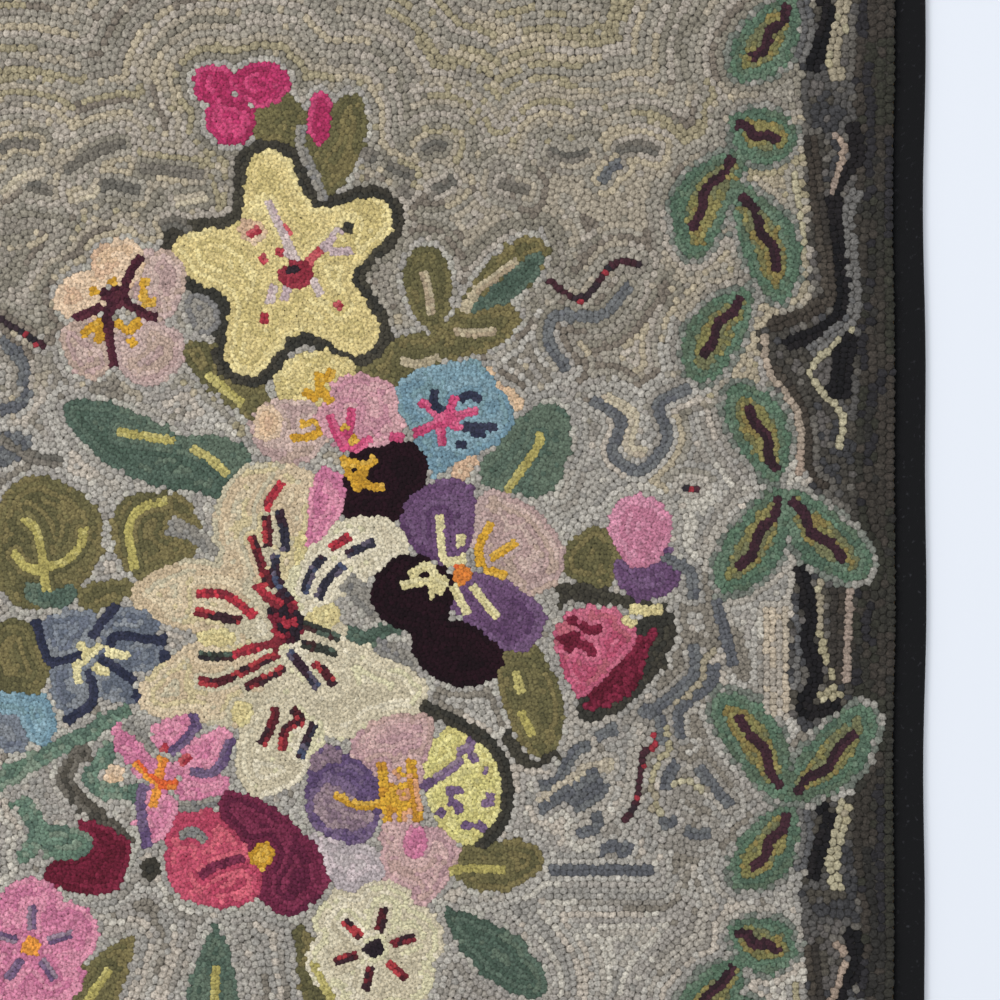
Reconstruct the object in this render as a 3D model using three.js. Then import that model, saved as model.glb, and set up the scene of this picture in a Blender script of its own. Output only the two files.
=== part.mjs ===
// A hooked rug, lying flat: a field of foundation cloth with its looped pile, and a black tape
// sewn round the rim in four mitred strips. Millimetres, +Z up. The origin is the middle of the
// underside: +X runs to the right of the pattern and +Y to its top, along the length.

import * as THREE from 'three';

// The whole rug, over the outside of its binding, and how far the tape shows past the pile.
const RUG_WIDTH = 900;
const RUG_LENGTH = 1220;
const TAPE_SHOWS = 20;

// The tape folds over the foundation's edge and runs back a little way under the pile.
const TAPE_THICK = 1.2;
const TAPE_RETURNS = 15;
const FOLD_ROUND = 1.8;
const FOLD_PINCH = 0.6;

// The foundation is a coarse cloth. Its bare margin lies between the two layers of the tape.
const CLOTH_THICK = 1.3;
const MARGIN_ENDS_INSIDE = 3;
const PILE_TOP = 8.5;
const CLEARANCE = 0.3;

// The last loops lean outwards and round the pile's shoulder.
const SHOULDER_LOW = 2.9;
const SHOULDER_HIGH = 1.1;
const SHOULDER_LEAN = 1.2;
const SHOULDER_WIDE = 3.5;

// The top of the pile is hand pulled, so it rises and falls a little from place to place.
const UNEVEN_UP = 0.35;
const UNEVEN_LONG = 61;
const UNEVEN_ACROSS = 47;

// Steps along a long side and along a short side. Every piece has its corners at the same steps.
const LONG_STEPS = 30;
const SHORT_STEPS = 22;

// How far the pile's top is divided from its edge inwards.
const TOP_INSETS = [32, 80, 150, 240];

const HALF_WIDTH = RUG_WIDTH / 2;
const HALF_LENGTH = RUG_LENGTH / 2;
const PILE_HALF_WIDTH = HALF_WIDTH - TAPE_SHOWS;
const PILE_HALF_LENGTH = HALF_LENGTH - TAPE_SHOWS;
const CLOTH_LOW = TAPE_THICK + CLEARANCE;
const CLOTH_HIGH = CLOTH_LOW + CLOTH_THICK;
const TAPE_TOP = CLOTH_HIGH + CLEARANCE + TAPE_THICK;

// Each side of the rug bends in and out in two slow waves: height and length of each, in mm,
// and where each starts.
const SIDE_WAVES = {
  right: { swell: 0.7, every: 390, start: 0.8, ripple: 0.5, between: 170, from: 2.0 },
  left: { swell: 0.9, every: 430, start: 2.6, ripple: 0.4, between: 190, from: 0.4 },
  top: { swell: 0.8, every: 360, start: 1.7, ripple: 0.4, between: 165, from: 1.1 },
  bottom: { swell: 0.6, every: 410, start: 4.1, ripple: 0.6, between: 180, from: 3.0 },
};
const WAVES_REACH_IN = 6;
const CORNER_BLUNT = 3;
const CORNER_TIGHT = 40;

function waveAt(side, along) {
  const swell = side.swell * Math.sin((2 * Math.PI * along) / side.every + side.start);
  const ripple = side.ripple * Math.sin((2 * Math.PI * along) / side.between + side.from);
  return swell + ripple;
}

// The furthest point of a side stays on the rug's stated width or length.
function furthest(side, halfSide, steps) {
  let most = -Infinity;
  for (let step = 0; step <= steps; step += 1) {
    const along = halfSide * ((2 * step) / steps - 1);
    most = Math.max(most, waveAt(side, along));
  }
  return most;
}

const FURTHEST = {
  right: furthest(SIDE_WAVES.right, HALF_LENGTH, LONG_STEPS),
  left: furthest(SIDE_WAVES.left, HALF_LENGTH, LONG_STEPS),
  top: furthest(SIDE_WAVES.top, HALF_WIDTH, SHORT_STEPS),
  bottom: furthest(SIDE_WAVES.bottom, HALF_WIDTH, SHORT_STEPS),
};

// Moves a place on a perfect rectangle to where it lies on the real rug: the sides wave, most at
// the rim and hardly at all further in, and the corners are a little blunt.
function lieUneven(x, y) {
  const across = Math.abs(x) / HALF_WIDTH;
  const along = Math.abs(y) / HALF_LENGTH;
  const sideX = x < 0 ? 'left' : 'right';
  const sideY = y < 0 ? 'bottom' : 'top';
  const blunt = CORNER_BLUNT * (across * along) ** CORNER_TIGHT;
  const outX = across ** WAVES_REACH_IN * (waveAt(SIDE_WAVES[sideX], y) - FURTHEST[sideX]);
  const outY = along ** WAVES_REACH_IN * (waveAt(SIDE_WAVES[sideY], x) - FURTHEST[sideY]);
  return [x + Math.sign(x) * (outX - blunt), y + Math.sign(y) * (outY - blunt)];
}

function placeEachPoint(geometry, place) {
  const points = geometry.getAttribute('position');
  for (let index = 0; index < points.count; index += 1) {
    const [x, y, z] = place(points.getX(index), points.getY(index), points.getZ(index), index);
    const [liesX, liesY] = lieUneven(x, y);
    points.setXYZ(index, liesX, liesY, z);
  }
  geometry.computeVertexNormals();
  return geometry;
}

// The round of the lathe is laid out along four sides, so each ring becomes a rectangle. A step
// of the round gives a place on a square that reaches 1 each way from its middle.
const ROUND = [
  { from: [1, 1], to: [-1, 1], steps: SHORT_STEPS },
  { from: [-1, 1], to: [-1, -1], steps: LONG_STEPS },
  { from: [-1, -1], to: [1, -1], steps: SHORT_STEPS },
  { from: [1, -1], to: [1, 1], steps: LONG_STEPS },
];

function roundTheSides(step) {
  let stepsOn = step;
  for (const { from, to, steps } of ROUND) {
    if (stepsOn <= steps) {
      return from.map((start, axis) => start + ((to[axis] - start) * stepsOn) / steps);
    }
    stepsOn -= steps;
  }
  return ROUND[0].from;
}

// The field: one cloth, hooked full of loops out to the tape. Its section runs from the middle of
// the underside out along the bare margin, back to the pile, up over the shoulder and inwards.
function hookedField() {
  const marginEnd = TAPE_SHOWS - MARGIN_ENDS_INSIDE;
  const underTape = -TAPE_RETURNS - CLEARANCE;
  const section = [
    { out: underTape - CLOTH_LOW, up: 0 },
    { out: underTape, up: CLOTH_LOW },
    { out: marginEnd, up: CLOTH_LOW },
    { out: marginEnd, up: CLOTH_HIGH },
    { out: 0, up: CLOTH_HIGH },
    { out: 0, up: PILE_TOP - SHOULDER_LOW },
    { out: -SHOULDER_LEAN, up: PILE_TOP - SHOULDER_HIGH },
    { out: -SHOULDER_WIDE, up: PILE_TOP },
    ...TOP_INSETS.map((inset) => ({ out: -inset, up: PILE_TOP })),
  ];
  const rings = [
    new THREE.Vector2(0, 0),
    ...section.map(({ out, up }) => new THREE.Vector2(PILE_HALF_WIDTH + out, up)),
    new THREE.Vector2(0, PILE_TOP),
  ];
  const field = new THREE.LatheGeometry(rings, 2 * (LONG_STEPS + SHORT_STEPS));

  return placeEachPoint(field, (x, y, z, index) => {
    const ring = rings[index % rings.length];
    const [right, up] = roundTheSides(Math.floor(index / rings.length));
    const halfAcross = ring.x;
    const halfAlong = ring.x > 0 ? ring.x + PILE_HALF_LENGTH - PILE_HALF_WIDTH : 0;
    const atX = right * halfAcross;
    const atY = up * halfAlong;
    const isTop = ring.y === PILE_TOP && ring.x < PILE_HALF_WIDTH - SHOULDER_WIDE;
    const rise = Math.sin(atX / UNEVEN_ACROSS) * Math.cos(atY / UNEVEN_LONG);
    return [atX, atY, ring.y + (isTop ? UNEVEN_UP * (rise - 1) : 0)];
  });
}

// A strip of the tape, folded over the foundation's edge: a long leg below, a shorter one above.
function bindingSection() {
  const outer = TAPE_SHOWS;
  const inFold = outer - TAPE_THICK - FOLD_PINCH;
  const middle = TAPE_TOP / 2;
  const section = new THREE.Shape();
  section.moveTo(-TAPE_RETURNS, 0);
  section.lineTo(outer - FOLD_ROUND, 0);
  section.lineTo(outer - FOLD_PINCH / 2, FOLD_PINCH);
  section.lineTo(outer, middle);
  section.lineTo(outer - FOLD_PINCH / 2, TAPE_TOP - FOLD_PINCH);
  section.lineTo(outer - FOLD_ROUND, TAPE_TOP);
  section.lineTo(CLEARANCE, TAPE_TOP);
  section.lineTo(CLEARANCE, TAPE_TOP - TAPE_THICK);
  section.lineTo(inFold, TAPE_TOP - TAPE_THICK);
  section.lineTo(outer - TAPE_THICK, middle);
  section.lineTo(inFold, TAPE_THICK);
  section.lineTo(-TAPE_RETURNS, TAPE_THICK);
  section.closePath();
  return section;
}

// Four strips meet in mitres at the corners. Turned counts the quarter turns from the right side.
const STRIPS = [
  { side: 'right', turned: 0, pileEdge: PILE_HALF_WIDTH, halfSide: PILE_HALF_LENGTH, steps: LONG_STEPS },
  { side: 'top', turned: 1, pileEdge: PILE_HALF_LENGTH, halfSide: PILE_HALF_WIDTH, steps: SHORT_STEPS },
  { side: 'left', turned: 2, pileEdge: PILE_HALF_WIDTH, halfSide: PILE_HALF_LENGTH, steps: LONG_STEPS },
  { side: 'bottom', turned: 3, pileEdge: PILE_HALF_LENGTH, halfSide: PILE_HALF_WIDTH, steps: SHORT_STEPS },
];

function bindingStrip({ turned, pileEdge, halfSide, steps }) {
  const strip = new THREE.ExtrudeGeometry(bindingSection(), { depth: 1, steps, bevelEnabled: false });
  const mitreGap = CLEARANCE / Math.SQRT2;
  return placeEachPoint(strip, (out, up, part) => {
    const across = pileEdge + out;
    const along = (1 - 2 * part) * (halfSide + out - mitreGap);
    const places = [
      [across, along, up],
      [-along, across, up],
      [-across, -along, up],
      [along, -across, up],
    ];
    return places[turned];
  });
}

const pileAndCloth = new THREE.MeshStandardMaterial({ color: 0x8d857a, roughness: 0.95, metalness: 0 });
const blackTape = new THREE.MeshStandardMaterial({ color: 0x1d1d1f, roughness: 0.85, metalness: 0 });

const rug = new THREE.Group();

const field = new THREE.Mesh(hookedField(), pileAndCloth);
field.name = 'hooked_field';
rug.add(field);

for (const strip of STRIPS) {
  const binding = new THREE.Mesh(bindingStrip(strip), blackTape.clone());
  binding.name = `binding_${strip.side}`;
  rug.add(binding);
}

export default rug;
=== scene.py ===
import math

import bmesh
import bpy
import numpy as np
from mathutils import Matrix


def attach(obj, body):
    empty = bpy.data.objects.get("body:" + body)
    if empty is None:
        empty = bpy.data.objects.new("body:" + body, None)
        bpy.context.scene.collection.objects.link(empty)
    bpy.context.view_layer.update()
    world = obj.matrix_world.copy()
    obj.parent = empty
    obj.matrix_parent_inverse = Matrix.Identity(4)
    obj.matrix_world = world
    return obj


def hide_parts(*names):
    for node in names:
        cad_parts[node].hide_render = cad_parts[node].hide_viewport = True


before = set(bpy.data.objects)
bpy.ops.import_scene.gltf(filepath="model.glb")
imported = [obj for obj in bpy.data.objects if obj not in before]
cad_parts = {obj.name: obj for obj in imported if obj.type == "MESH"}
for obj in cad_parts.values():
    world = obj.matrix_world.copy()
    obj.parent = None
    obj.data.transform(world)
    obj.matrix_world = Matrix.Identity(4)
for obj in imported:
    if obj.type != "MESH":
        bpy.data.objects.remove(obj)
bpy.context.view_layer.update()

# The rug lies on a pale, slightly blue floor and is looked at from straight above. The picture
# shows the right-hand part of it, about 0.62 m across, from the middle of the bouquet to the tape.
VIEW_ACROSS = 0.618
VIEW_MIDDLE = (0.1855, 0.0618)
CAMERA_HEIGHT = 2.4
SENSOR = 0.036
PILE_TOP = 0.0085

camera_data = bpy.data.cameras.new("camera")
camera_data.sensor_width = SENSOR * 1000
camera_data.lens = SENSOR * 1000 * (CAMERA_HEIGHT - PILE_TOP) / VIEW_ACROSS
camera = bpy.data.objects.new("camera", camera_data)
camera.location = (*VIEW_MIDDLE, CAMERA_HEIGHT)
bpy.context.scene.collection.objects.link(camera)
bpy.context.scene.camera = camera
bpy.context.scene.view_settings.view_transform = "Standard"

# Soft studio light: a pale room all round, one wide lamp up to the left, and a weaker one
# opposite that opens the shadows.
ROOM_LIGHT = 0.7
ROOM_COLOUR = (0.93, 0.96, 1.0, 1.0)
LAMPS = {
    "key_lamp": {"at": (-1.5, 1.1, 1.9), "size": 1.3, "power": 33.0},
    "fill_lamp": {"at": (1.6, -1.2, 2.3), "size": 2.2, "power": 10.0},
}

world = bpy.data.worlds.new("room")
world.use_nodes = True
world.node_tree.nodes["Background"].inputs["Color"].default_value = ROOM_COLOUR
world.node_tree.nodes["Background"].inputs["Strength"].default_value = ROOM_LIGHT
bpy.context.scene.world = world
for lamp_name, lamp in LAMPS.items():
    light = bpy.data.lights.new(lamp_name, "AREA")
    light.size = lamp["size"]
    light.energy = lamp["power"]
    lamp_object = bpy.data.objects.new(lamp_name, light)
    lamp_object.location = lamp["at"]
    towards = [-place for place in lamp["at"]]
    turned = math.atan2(towards[1], towards[0]) - math.pi / 2
    leaned = math.atan2(math.hypot(towards[0], towards[1]), -towards[2])
    lamp_object.rotation_euler = (leaned, 0.0, turned)
    bpy.context.scene.collection.objects.link(lamp_object)

# The floor is a plain painted board, level with the rug's underside.
FLOOR_HALF = 6.0
FLOOR_COLOUR = (236, 240, 247)


def paint(red, green, blue):
    """A colour as it is seen, each part from 0 to 255, in the units that a shader takes."""
    parts = [part / 255 for part in (red, green, blue)]
    return [part / 12.92 if part < 0.04045 else ((part + 0.055) / 1.055) ** 2.4 for part in parts]


def new_material(name, roughness):
    """A material, with its node tree and its Principled shader."""
    material = bpy.data.materials.new(name)
    material.use_nodes = True
    shader = material.node_tree.nodes["Principled BSDF"]
    shader.inputs["Roughness"].default_value = roughness
    return material, material.node_tree, shader


def piece_from(form, name):
    """A piece in the scene, made from a finished bmesh."""
    mesh = bpy.data.meshes.new(name)
    form.to_mesh(mesh)
    form.free()
    piece = bpy.data.objects.new(name, mesh)
    bpy.context.scene.collection.objects.link(piece)
    return piece


floor_form = bmesh.new()
bmesh.ops.create_grid(floor_form, x_segments=1, y_segments=1, size=FLOOR_HALF)
floor = piece_from(floor_form, "floor")
floor_paint, tree, shader = new_material("floor_paint", roughness=0.9)
shader.inputs["Base Color"].default_value = (*paint(*FLOOR_COLOUR), 1.0)
floor.data.materials.append(floor_paint)

# The foundation is a coarse jute cloth, cut larger than the pile and hooked full of wool. Its bare
# margin goes into the fold of the tape, and its middle sags to the floor under the wool's weight.
MM = 0.001
RUG_HALF = (450.0, 610.0)
TAPE_SHOWS = 20.0
PILE_HALF = (RUG_HALF[0] - TAPE_SHOWS, RUG_HALF[1] - TAPE_SHOWS)
CLOTH_THICK = 1.3
CLOTH_RAISED = 1.5
MARGIN = 17.0
TAPE_RETURNS = 15.3
SAG_ACROSS = 1.5
SAG_PARTS = (0.0, 0.33, 0.67, 1.0)
CLOTH_STEPS = (44, 60)

# Each side bends in and out in two slow waves: height and length of each in mm, and its start.
SIDE_WAVES = {
    "right": ((0.7, 390, 0.8), (0.5, 170, 2.0)),
    "left": ((0.9, 430, 2.6), (0.4, 190, 0.4)),
    "top": ((0.8, 360, 1.7), (0.4, 165, 1.1)),
    "bottom": ((0.6, 410, 4.1), (0.6, 180, 3.0)),
}
WAVES_REACH_IN = 6
WAVE_SPOTS = 200
CORNER_BLUNT = 3.0
CORNER_TIGHT = 40


def wave_at(side, along):
    """How far a side of the rug bends outwards at a place along it, never past its full size."""
    half = RUG_HALF[1] if side in ("right", "left") else RUG_HALF[0]
    whole = np.linspace(-half, half, WAVE_SPOTS)
    height = {}
    for name, places in (("here", along), ("all", whole)):
        waves = [tall * np.sin(2 * np.pi * places / long + start) for tall, long, start in SIDE_WAVES[side]]
        height[name] = sum(waves)
    return height["here"] - height["all"].max()


def lie_uneven(x, y):
    """Where a place on a perfect rectangle lies on the real rug, in mm."""
    across = np.abs(x) / RUG_HALF[0]
    along = np.abs(y) / RUG_HALF[1]
    wave_x = np.where(x < 0, wave_at("left", y), wave_at("right", y))
    wave_y = np.where(y < 0, wave_at("bottom", x), wave_at("top", x))
    blunt = CORNER_BLUNT * (across * along) ** CORNER_TIGHT
    out_x = across ** WAVES_REACH_IN * wave_x - blunt
    out_y = along ** WAVES_REACH_IN * wave_y - blunt
    return x + np.sign(x) * out_x, y + np.sign(y) * out_y


def cloth_under(x, y):
    """Height of the foundation's underside: on the floor in the middle, over the tape at the rim."""
    from_edge = np.minimum(PILE_HALF[0] - np.abs(x), PILE_HALF[1] - np.abs(y))
    part = np.clip((TAPE_RETURNS + SAG_ACROSS - from_edge) / SAG_ACROSS, 0.0, 1.0)
    return CLOTH_RAISED * part * part * (3 - 2 * part)


def both_sides(rim, count):
    """Places from side to side: the rim's, given from the edge inwards, and even ones between."""
    inner = np.linspace(-rim[-1], rim[-1], count)
    return np.array([-place for place in rim[:-1]] + list(inner) + rim[-2::-1])


def grid_form(places_x, places_y, put):
    """A grid as a bmesh, with each point where put says that its place in mm comes to lie."""
    form = bmesh.new()
    last_x, last_y = len(places_x) - 1, len(places_y) - 1
    bmesh.ops.create_grid(form, x_segments=last_x, y_segments=last_y, size=1.0)
    for point in form.verts:
        column = round((point.co.x + 1) / 2 * last_x)
        line = round((point.co.y + 1) / 2 * last_y)
        point.co = put(places_x[column], places_y[line])
    return form


def on_cloth(x, y):
    lies_x, lies_y = lie_uneven(x, y)
    return lies_x * MM, lies_y * MM, (cloth_under(x, y) + CLOTH_THICK) * MM


cloth_places = []
for half, count in zip(PILE_HALF, CLOTH_STEPS):
    sags_at = [half - TAPE_RETURNS - SAG_ACROSS * part for part in SAG_PARTS]
    cloth_places.append(both_sides([half + MARGIN, half, *sags_at], count))
cloth_form = grid_form(*cloth_places, on_cloth)
bmesh.ops.solidify(cloth_form, geom=cloth_form.faces[:], thickness=CLOTH_THICK * MM)
bmesh.ops.recalc_face_normals(cloth_form, faces=cloth_form.faces[:])
foundation = piece_from(cloth_form, "foundation_cloth")
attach(foundation, "root")
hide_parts("hooked_field")


def new_group(name, takes, gives):
    """An empty shader group with its named sockets, and its two end nodes."""
    group = bpy.data.node_groups.new(name, "ShaderNodeTree")
    for side, sockets in (("INPUT", takes), ("OUTPUT", gives)):
        for socket_name, kind in sockets.items():
            group.interface.new_socket(
                name=socket_name, in_out=side, socket_type=f"NodeSocket{kind}"
            )
    return group, group.nodes.new("NodeGroupInput"), group.nodes.new("NodeGroupOutput")


def join(tree, node, ends):
    """Joins outputs to a node's inputs by name or number, or sets those given as a value."""
    for name, start in ends.items():
        if isinstance(start, bpy.types.NodeSocket):
            tree.links.new(start, node.inputs[name])
        else:
            node.inputs[name].default_value = start


def add_node(tree, kind, ends, **settings):
    """A shader node with its settings, and with its inputs joined or set."""
    node = tree.nodes.new(f"ShaderNode{kind}")
    for name, setting in settings.items():
        setattr(node, name, setting)
    join(tree, node, ends)
    return node


def add_bump(tree, shader, height, strength, deep):
    """Joins a height to the shader as bumps that are so many metres deep."""
    bump = add_node(tree, "Bump", {"Height": height, "Strength": strength, "Distance": deep})
    join(tree, shader, {"Normal": bump.outputs["Normal"]})


# Both sets of jute yarn lie flat and cross over and under, eight to the inch, with slubs.
JUTE_REPEAT = 3.2
JUTE_WANDER = 0.6
JUTE_DARK = (132, 106, 72)
JUTE_PALE = (178, 152, 112)
jute_group, given, put_out = new_group(
    "jute_weave", {"Place": "Vector"}, {"Height": "Float", "Colour": "Color"}
)
cloth_place = given.outputs["Place"]
warp, weft = [
    add_node(
        jute_group,
        "TexWave",
        {"Vector": cloth_place, "Scale": math.pi / (10 * JUTE_REPEAT * MM), "Distortion": JUTE_WANDER},
        wave_type="BANDS",
        bands_direction=direction,
    )
    for direction in ("X", "Y")
]
crossing = add_node(
    jute_group, "Math", {0: warp.outputs["Fac"], 1: weft.outputs["Fac"]}, operation="MAXIMUM"
)
slubs = add_node(jute_group, "TexNoise", {"Vector": cloth_place, "Scale": 240.0, "Detail": 3.0})
straw_colours = {"A": (*paint(*JUTE_DARK), 1.0), "B": (*paint(*JUTE_PALE), 1.0)}
straw = add_node(
    jute_group, "Mix", {"Factor": slubs.outputs["Fac"], **straw_colours}, data_type="RGBA"
)
join(
    jute_group,
    put_out,
    {"Height": crossing.outputs["Value"], "Colour": straw.outputs["Result"]},
)

jute, tree, shader = new_material("woven_jute", roughness=0.9)
cloth_spot = add_node(tree, "TexCoord", {})
surface = add_node(tree, "Group", {"Place": cloth_spot.outputs["Object"]}, node_tree=jute_group)
join(tree, shader, {"Base Color": surface.outputs["Colour"]})
add_bump(tree, shader, surface.outputs["Height"], strength=0.6, deep=0.0005)
shader.inputs["Sheen Weight"].default_value = 0.08
foundation.data.materials.append(jute)

# The pattern is drawn on the cloth before any wool goes in, in mm from the middle of the rug. The
# chart holds, for every spot of a fine grid, the number of the wool area drawn there last.
SPOT = 1.0
COLUMNS = int(2 * PILE_HALF[0] / SPOT)
LINES = int(2 * PILE_HALF[1] / SPOT)
spot_x = -PILE_HALF[0] + SPOT * (np.arange(COLUMNS) + 0.5)
spot_y = -PILE_HALF[1] + SPOT * (np.arange(LINES) + 0.5)
chart = np.zeros((LINES, COLUMNS), np.int32)
NO_LENGTH = 1e-9
areas = []
outlines = []
single_rows = []


def wool_area(piece, loop, wools, run, fleck):
    """A kind of hooking: its piece, its loop across and along the row in mm, and its wools."""
    areas.append({"piece": piece, "loop": loop, "wools": wools, "run": run, "fleck": fleck})
    return len(areas) - 1


LINE_STEP = 1.2


def smooth_line(points, closed=False, step=LINE_STEP):
    """A smooth line through a few places, with a place about every step mm."""
    points = np.array(points, float)
    if closed:
        ends = np.vstack([points[-1], points, points[0], points[1]])
    else:
        ends = np.vstack([2 * points[0] - points[1], points, 2 * points[-1] - points[-2]])
    pieces = []
    for before, start, end, after in zip(ends[:-3], ends[1:-2], ends[2:-1], ends[3:]):
        count = max(2, int(np.hypot(*(end - start)) / step))
        part = np.linspace(0, 1, count, endpoint=False)[:, None]
        slope = (end - before) / 2
        next_slope = (after - start) / 2
        pieces.append(
            (2 * part**3 - 3 * part**2 + 1) * start
            + (part**3 - 2 * part**2 + part) * slope
            + (3 * part**2 - 2 * part**3) * end
            + (part**3 - part**2) * next_slope
        )
    if not closed:
        pieces.append(points[-1:])
    return np.vstack(pieces)


def outward(line, closed=True):
    """The unit normal at each place of a line, to its right as it runs."""
    if closed:
        run = np.roll(line, -1, axis=0) - np.roll(line, 1, axis=0)
    else:
        run = np.gradient(line, axis=0)
    run /= np.maximum(np.hypot(run[:, 0], run[:, 1]), NO_LENGTH)[:, None]
    return np.stack([run[:, 1], -run[:, 0]], 1)


def area_of(outline):
    after = np.roll(outline, -1, axis=0)
    return (outline[:, 0] * after[:, 1] - after[:, 0] * outline[:, 1]).sum() / 2


def grown(outline, by):
    """The outline moved outwards by so many mm."""
    way = 1 if area_of(outline) > 0 else -1
    return outline + way * by * outward(outline)


def ribbon(points, width, end_width=None):
    """The outline of a line of one width, or of one that narrows to end_width."""
    line = smooth_line(points)
    widths = np.linspace(width, width if end_width is None else end_width, len(line))
    side = outward(line, closed=False) * widths[:, None] / 2
    return np.vstack([line + side, (line - side)[::-1]])


PETAL_STEPS = 26


def petal(foot, tip, width, widest=0.6, blunt=0.6, bend=0.0):
    """A petal or leaf from foot to tip. Blunt is 1 for a pointed tip and 0.5 for a round one."""
    foot = np.array(foot, float)
    along = np.array(tip, float) - foot
    length = np.hypot(*along)
    along /= length
    across = np.array([along[1], -along[0]])
    part = np.linspace(0, 1, PETAL_STEPS)
    skew = math.log(0.5) / math.log(widest)
    half = width / 2 * np.sin(np.pi * part**skew) ** blunt
    axis = foot + part[:, None] * length * along + np.sin(np.pi * part)[:, None] * bend * across
    side = half[:, None] * across
    return np.vstack([axis + side, (axis - side)[::-1][1:-1]])


ROUND_STEPS = 60


def round_patch(middle, across, along, turned=0.0, wobble=0.0, waves=3, start=0.0):
    """A round or oval patch, turned by degrees, with so many low waves in its outline."""
    angle = np.linspace(0, 2 * np.pi, ROUND_STEPS, endpoint=False)
    reach = 1 + wobble * np.sin(waves * angle + start)
    x, y = across / 2 * reach * np.cos(angle), along / 2 * reach * np.sin(angle)
    cos, sin = math.cos(math.radians(turned)), math.sin(math.radians(turned))
    return np.stack([middle[0] + x * cos - y * sin, middle[1] + x * sin + y * cos], 1)


EDGE_SEED = 3
EDGE_SHAKE = 1.25
EDGE_STIFF = 0.6
EVEN_STEP = 1.0
edge_random = np.random.default_rng(EDGE_SEED)


def evenly(outline, step):
    """The same closed outline, with a place every step mm."""
    closed = np.vstack([outline, outline[:1]])
    length = np.append(0, np.hypot(*np.diff(closed, axis=0).T).cumsum())
    at = np.arange(0, length[-1], step)
    return np.stack([np.interp(at, length, closed[:, axis]) for axis in (0, 1)], 1)


def by_hand(outline):
    """The outline as a hand draws it and as whole loops keep to it, ragged by about a loop."""
    even = evenly(outline, EVEN_STEP)
    shake = edge_random.normal(0, 1, len(even))
    shake = EDGE_SHAKE * (shake + np.roll(shake, 1) + np.roll(shake, 2)) / math.sqrt(3)
    return even + outward(even) * shake[:, None] * EDGE_STIFF


def draw(area, *shapes, ragged=True):
    """Draws closed outlines on the chart, over what is there."""
    for shape in shapes:
        shape = by_hand(shape) if ragged else shape
        low = np.floor((shape.min(0) + PILE_HALF) / SPOT).astype(int).clip(0)
        high = np.ceil((shape.max(0) + PILE_HALF) / SPOT).astype(int) + 1
        x = spot_x[low[0] : high[0]][None, :]
        y = spot_y[low[1] : high[1]][:, None]
        inside = np.zeros((y.shape[0], x.shape[1]), bool)
        for (x0, y0), (x1, y1) in zip(shape, np.roll(shape, -1, axis=0)):
            if y0 != y1:
                meets = (y > min(y0, y1)) & (y <= max(y0, y1))
                inside ^= meets & (x < x0 + (y - y0) * (x1 - x0) / (y1 - y0))
        chart[low[1] : high[1], low[0] : high[0]][inside] = area
        outlines.append((area, shape))


ROW_STEP = 0.6


def draw_line(area, points, rows=1):
    """Draws a line that is hooked as one row of loops, or more side by side."""
    across = areas[area]["loop"][0]
    line = smooth_line(points, step=ROW_STEP)
    draw(area, ribbon(points, across * rows), ragged=False)
    side = outward(line, closed=False)
    for row in range(rows):
        single_rows.append((area, line + side * across * (row - (rows - 1) / 2)))


def chart_at(places):
    """The numbers of the wool areas at places on the rug."""
    column = ((places[:, 0] + PILE_HALF[0]) / SPOT).astype(int).clip(0, COLUMNS - 1)
    line = ((places[:, 1] + PILE_HALF[1]) / SPOT).astype(int).clip(0, LINES - 1)
    return chart[line, column]


# The ground behind the flowers is hooked in undyed greys and beiges. It turns warmer towards the
# head of the rug, and the part round the bouquet has finer loops than the rest.
GROUND_LOOP = (3.7, 4.0)
FLOWER_LOOP = (2.9, 2.9)
STREAK_LOOP = (2.6, 2.9)
LEAF_LOOP = (3.0, 3.0)
RIB_LOOP = (4.0, 2.9)
SCROLL_LOOP = (4.6, 4.4)
EDGE_LOOP = (5.4, 5.2)
GREYS = [
    (132, 124, 112), (146, 139, 129), (153, 148, 140), (160, 153, 144), (165, 159, 149), (170, 162, 150),
    (175, 169, 159), (183, 172, 158), (190, 183, 170),
]
WARM_GREYS = [
    (123, 113, 101), (135, 128, 114), (143, 135, 123), (149, 142, 129), (156, 148, 134), (164, 153, 135),
    (168, 158, 145), (174, 161, 137), (157, 146, 118),
]


def mixed(colours):
    """The dyed wools of one kind, which a maker keeps in one bag and takes as they come."""
    return [paint(*colour) for colour in colours]


ground_wools = mixed(GREYS)
warm_wools = mixed(WARM_GREYS)
GREY_WAVES = ((57, 1.9, 83), (41, -1.3, 67))
GREY_SLOW = 0.11
GREY_SPREAD = 0.86
WARM_FROM = 90
WARM_BLEND = 80
WARM_WAVE = (25, 40)
SECOND_CHANCE = 37


def ground_wool(place, chance):
    """Which grey is taken at a place: the greys change slowly over the rug, and from row to row."""
    x, y = place
    slow = sum(
        math.sin(here / long + bend * math.sin(there / other_long))
        for (here, there), (long, bend, other_long) in zip(((x, y), (y, x)), GREY_WAVES)
    )
    which = 0.5 + GREY_SLOW * slow + GREY_SPREAD * (chance - 0.5)
    warmth = (y + WARM_WAVE[0] * math.sin(x / WARM_WAVE[1]) - WARM_FROM) / WARM_BLEND
    wools = warm_wools if chance * SECOND_CHANCE % 1 < warmth else ground_wools
    return wools[min(max(int(which * len(wools)), 0), len(wools) - 1)]


FLECK = 0.07
FAR_LOOP = (4.4, 4.4)
FINE_LEFT = -150
FINE_ENDS = 320
far_ground = wool_area("pile_ground", FAR_LOOP, ground_wool, run=9, fleck=FLECK)
ground = wool_area("pile_ground", GROUND_LOOP, ground_wool, run=9, fleck=FLECK)
chart[:] = far_ground
across, along = np.meshgrid(spot_x, spot_y)
chart[(across > FINE_LEFT) & (np.abs(along) < FINE_ENDS)] = ground


def kind(piece, loop, colours, run=8, fleck=FLECK):
    """A wool area from its colours, where run is about how many loops one strip of wool makes."""
    return wool_area(piece, loop, mixed(colours), run, fleck)


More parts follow.
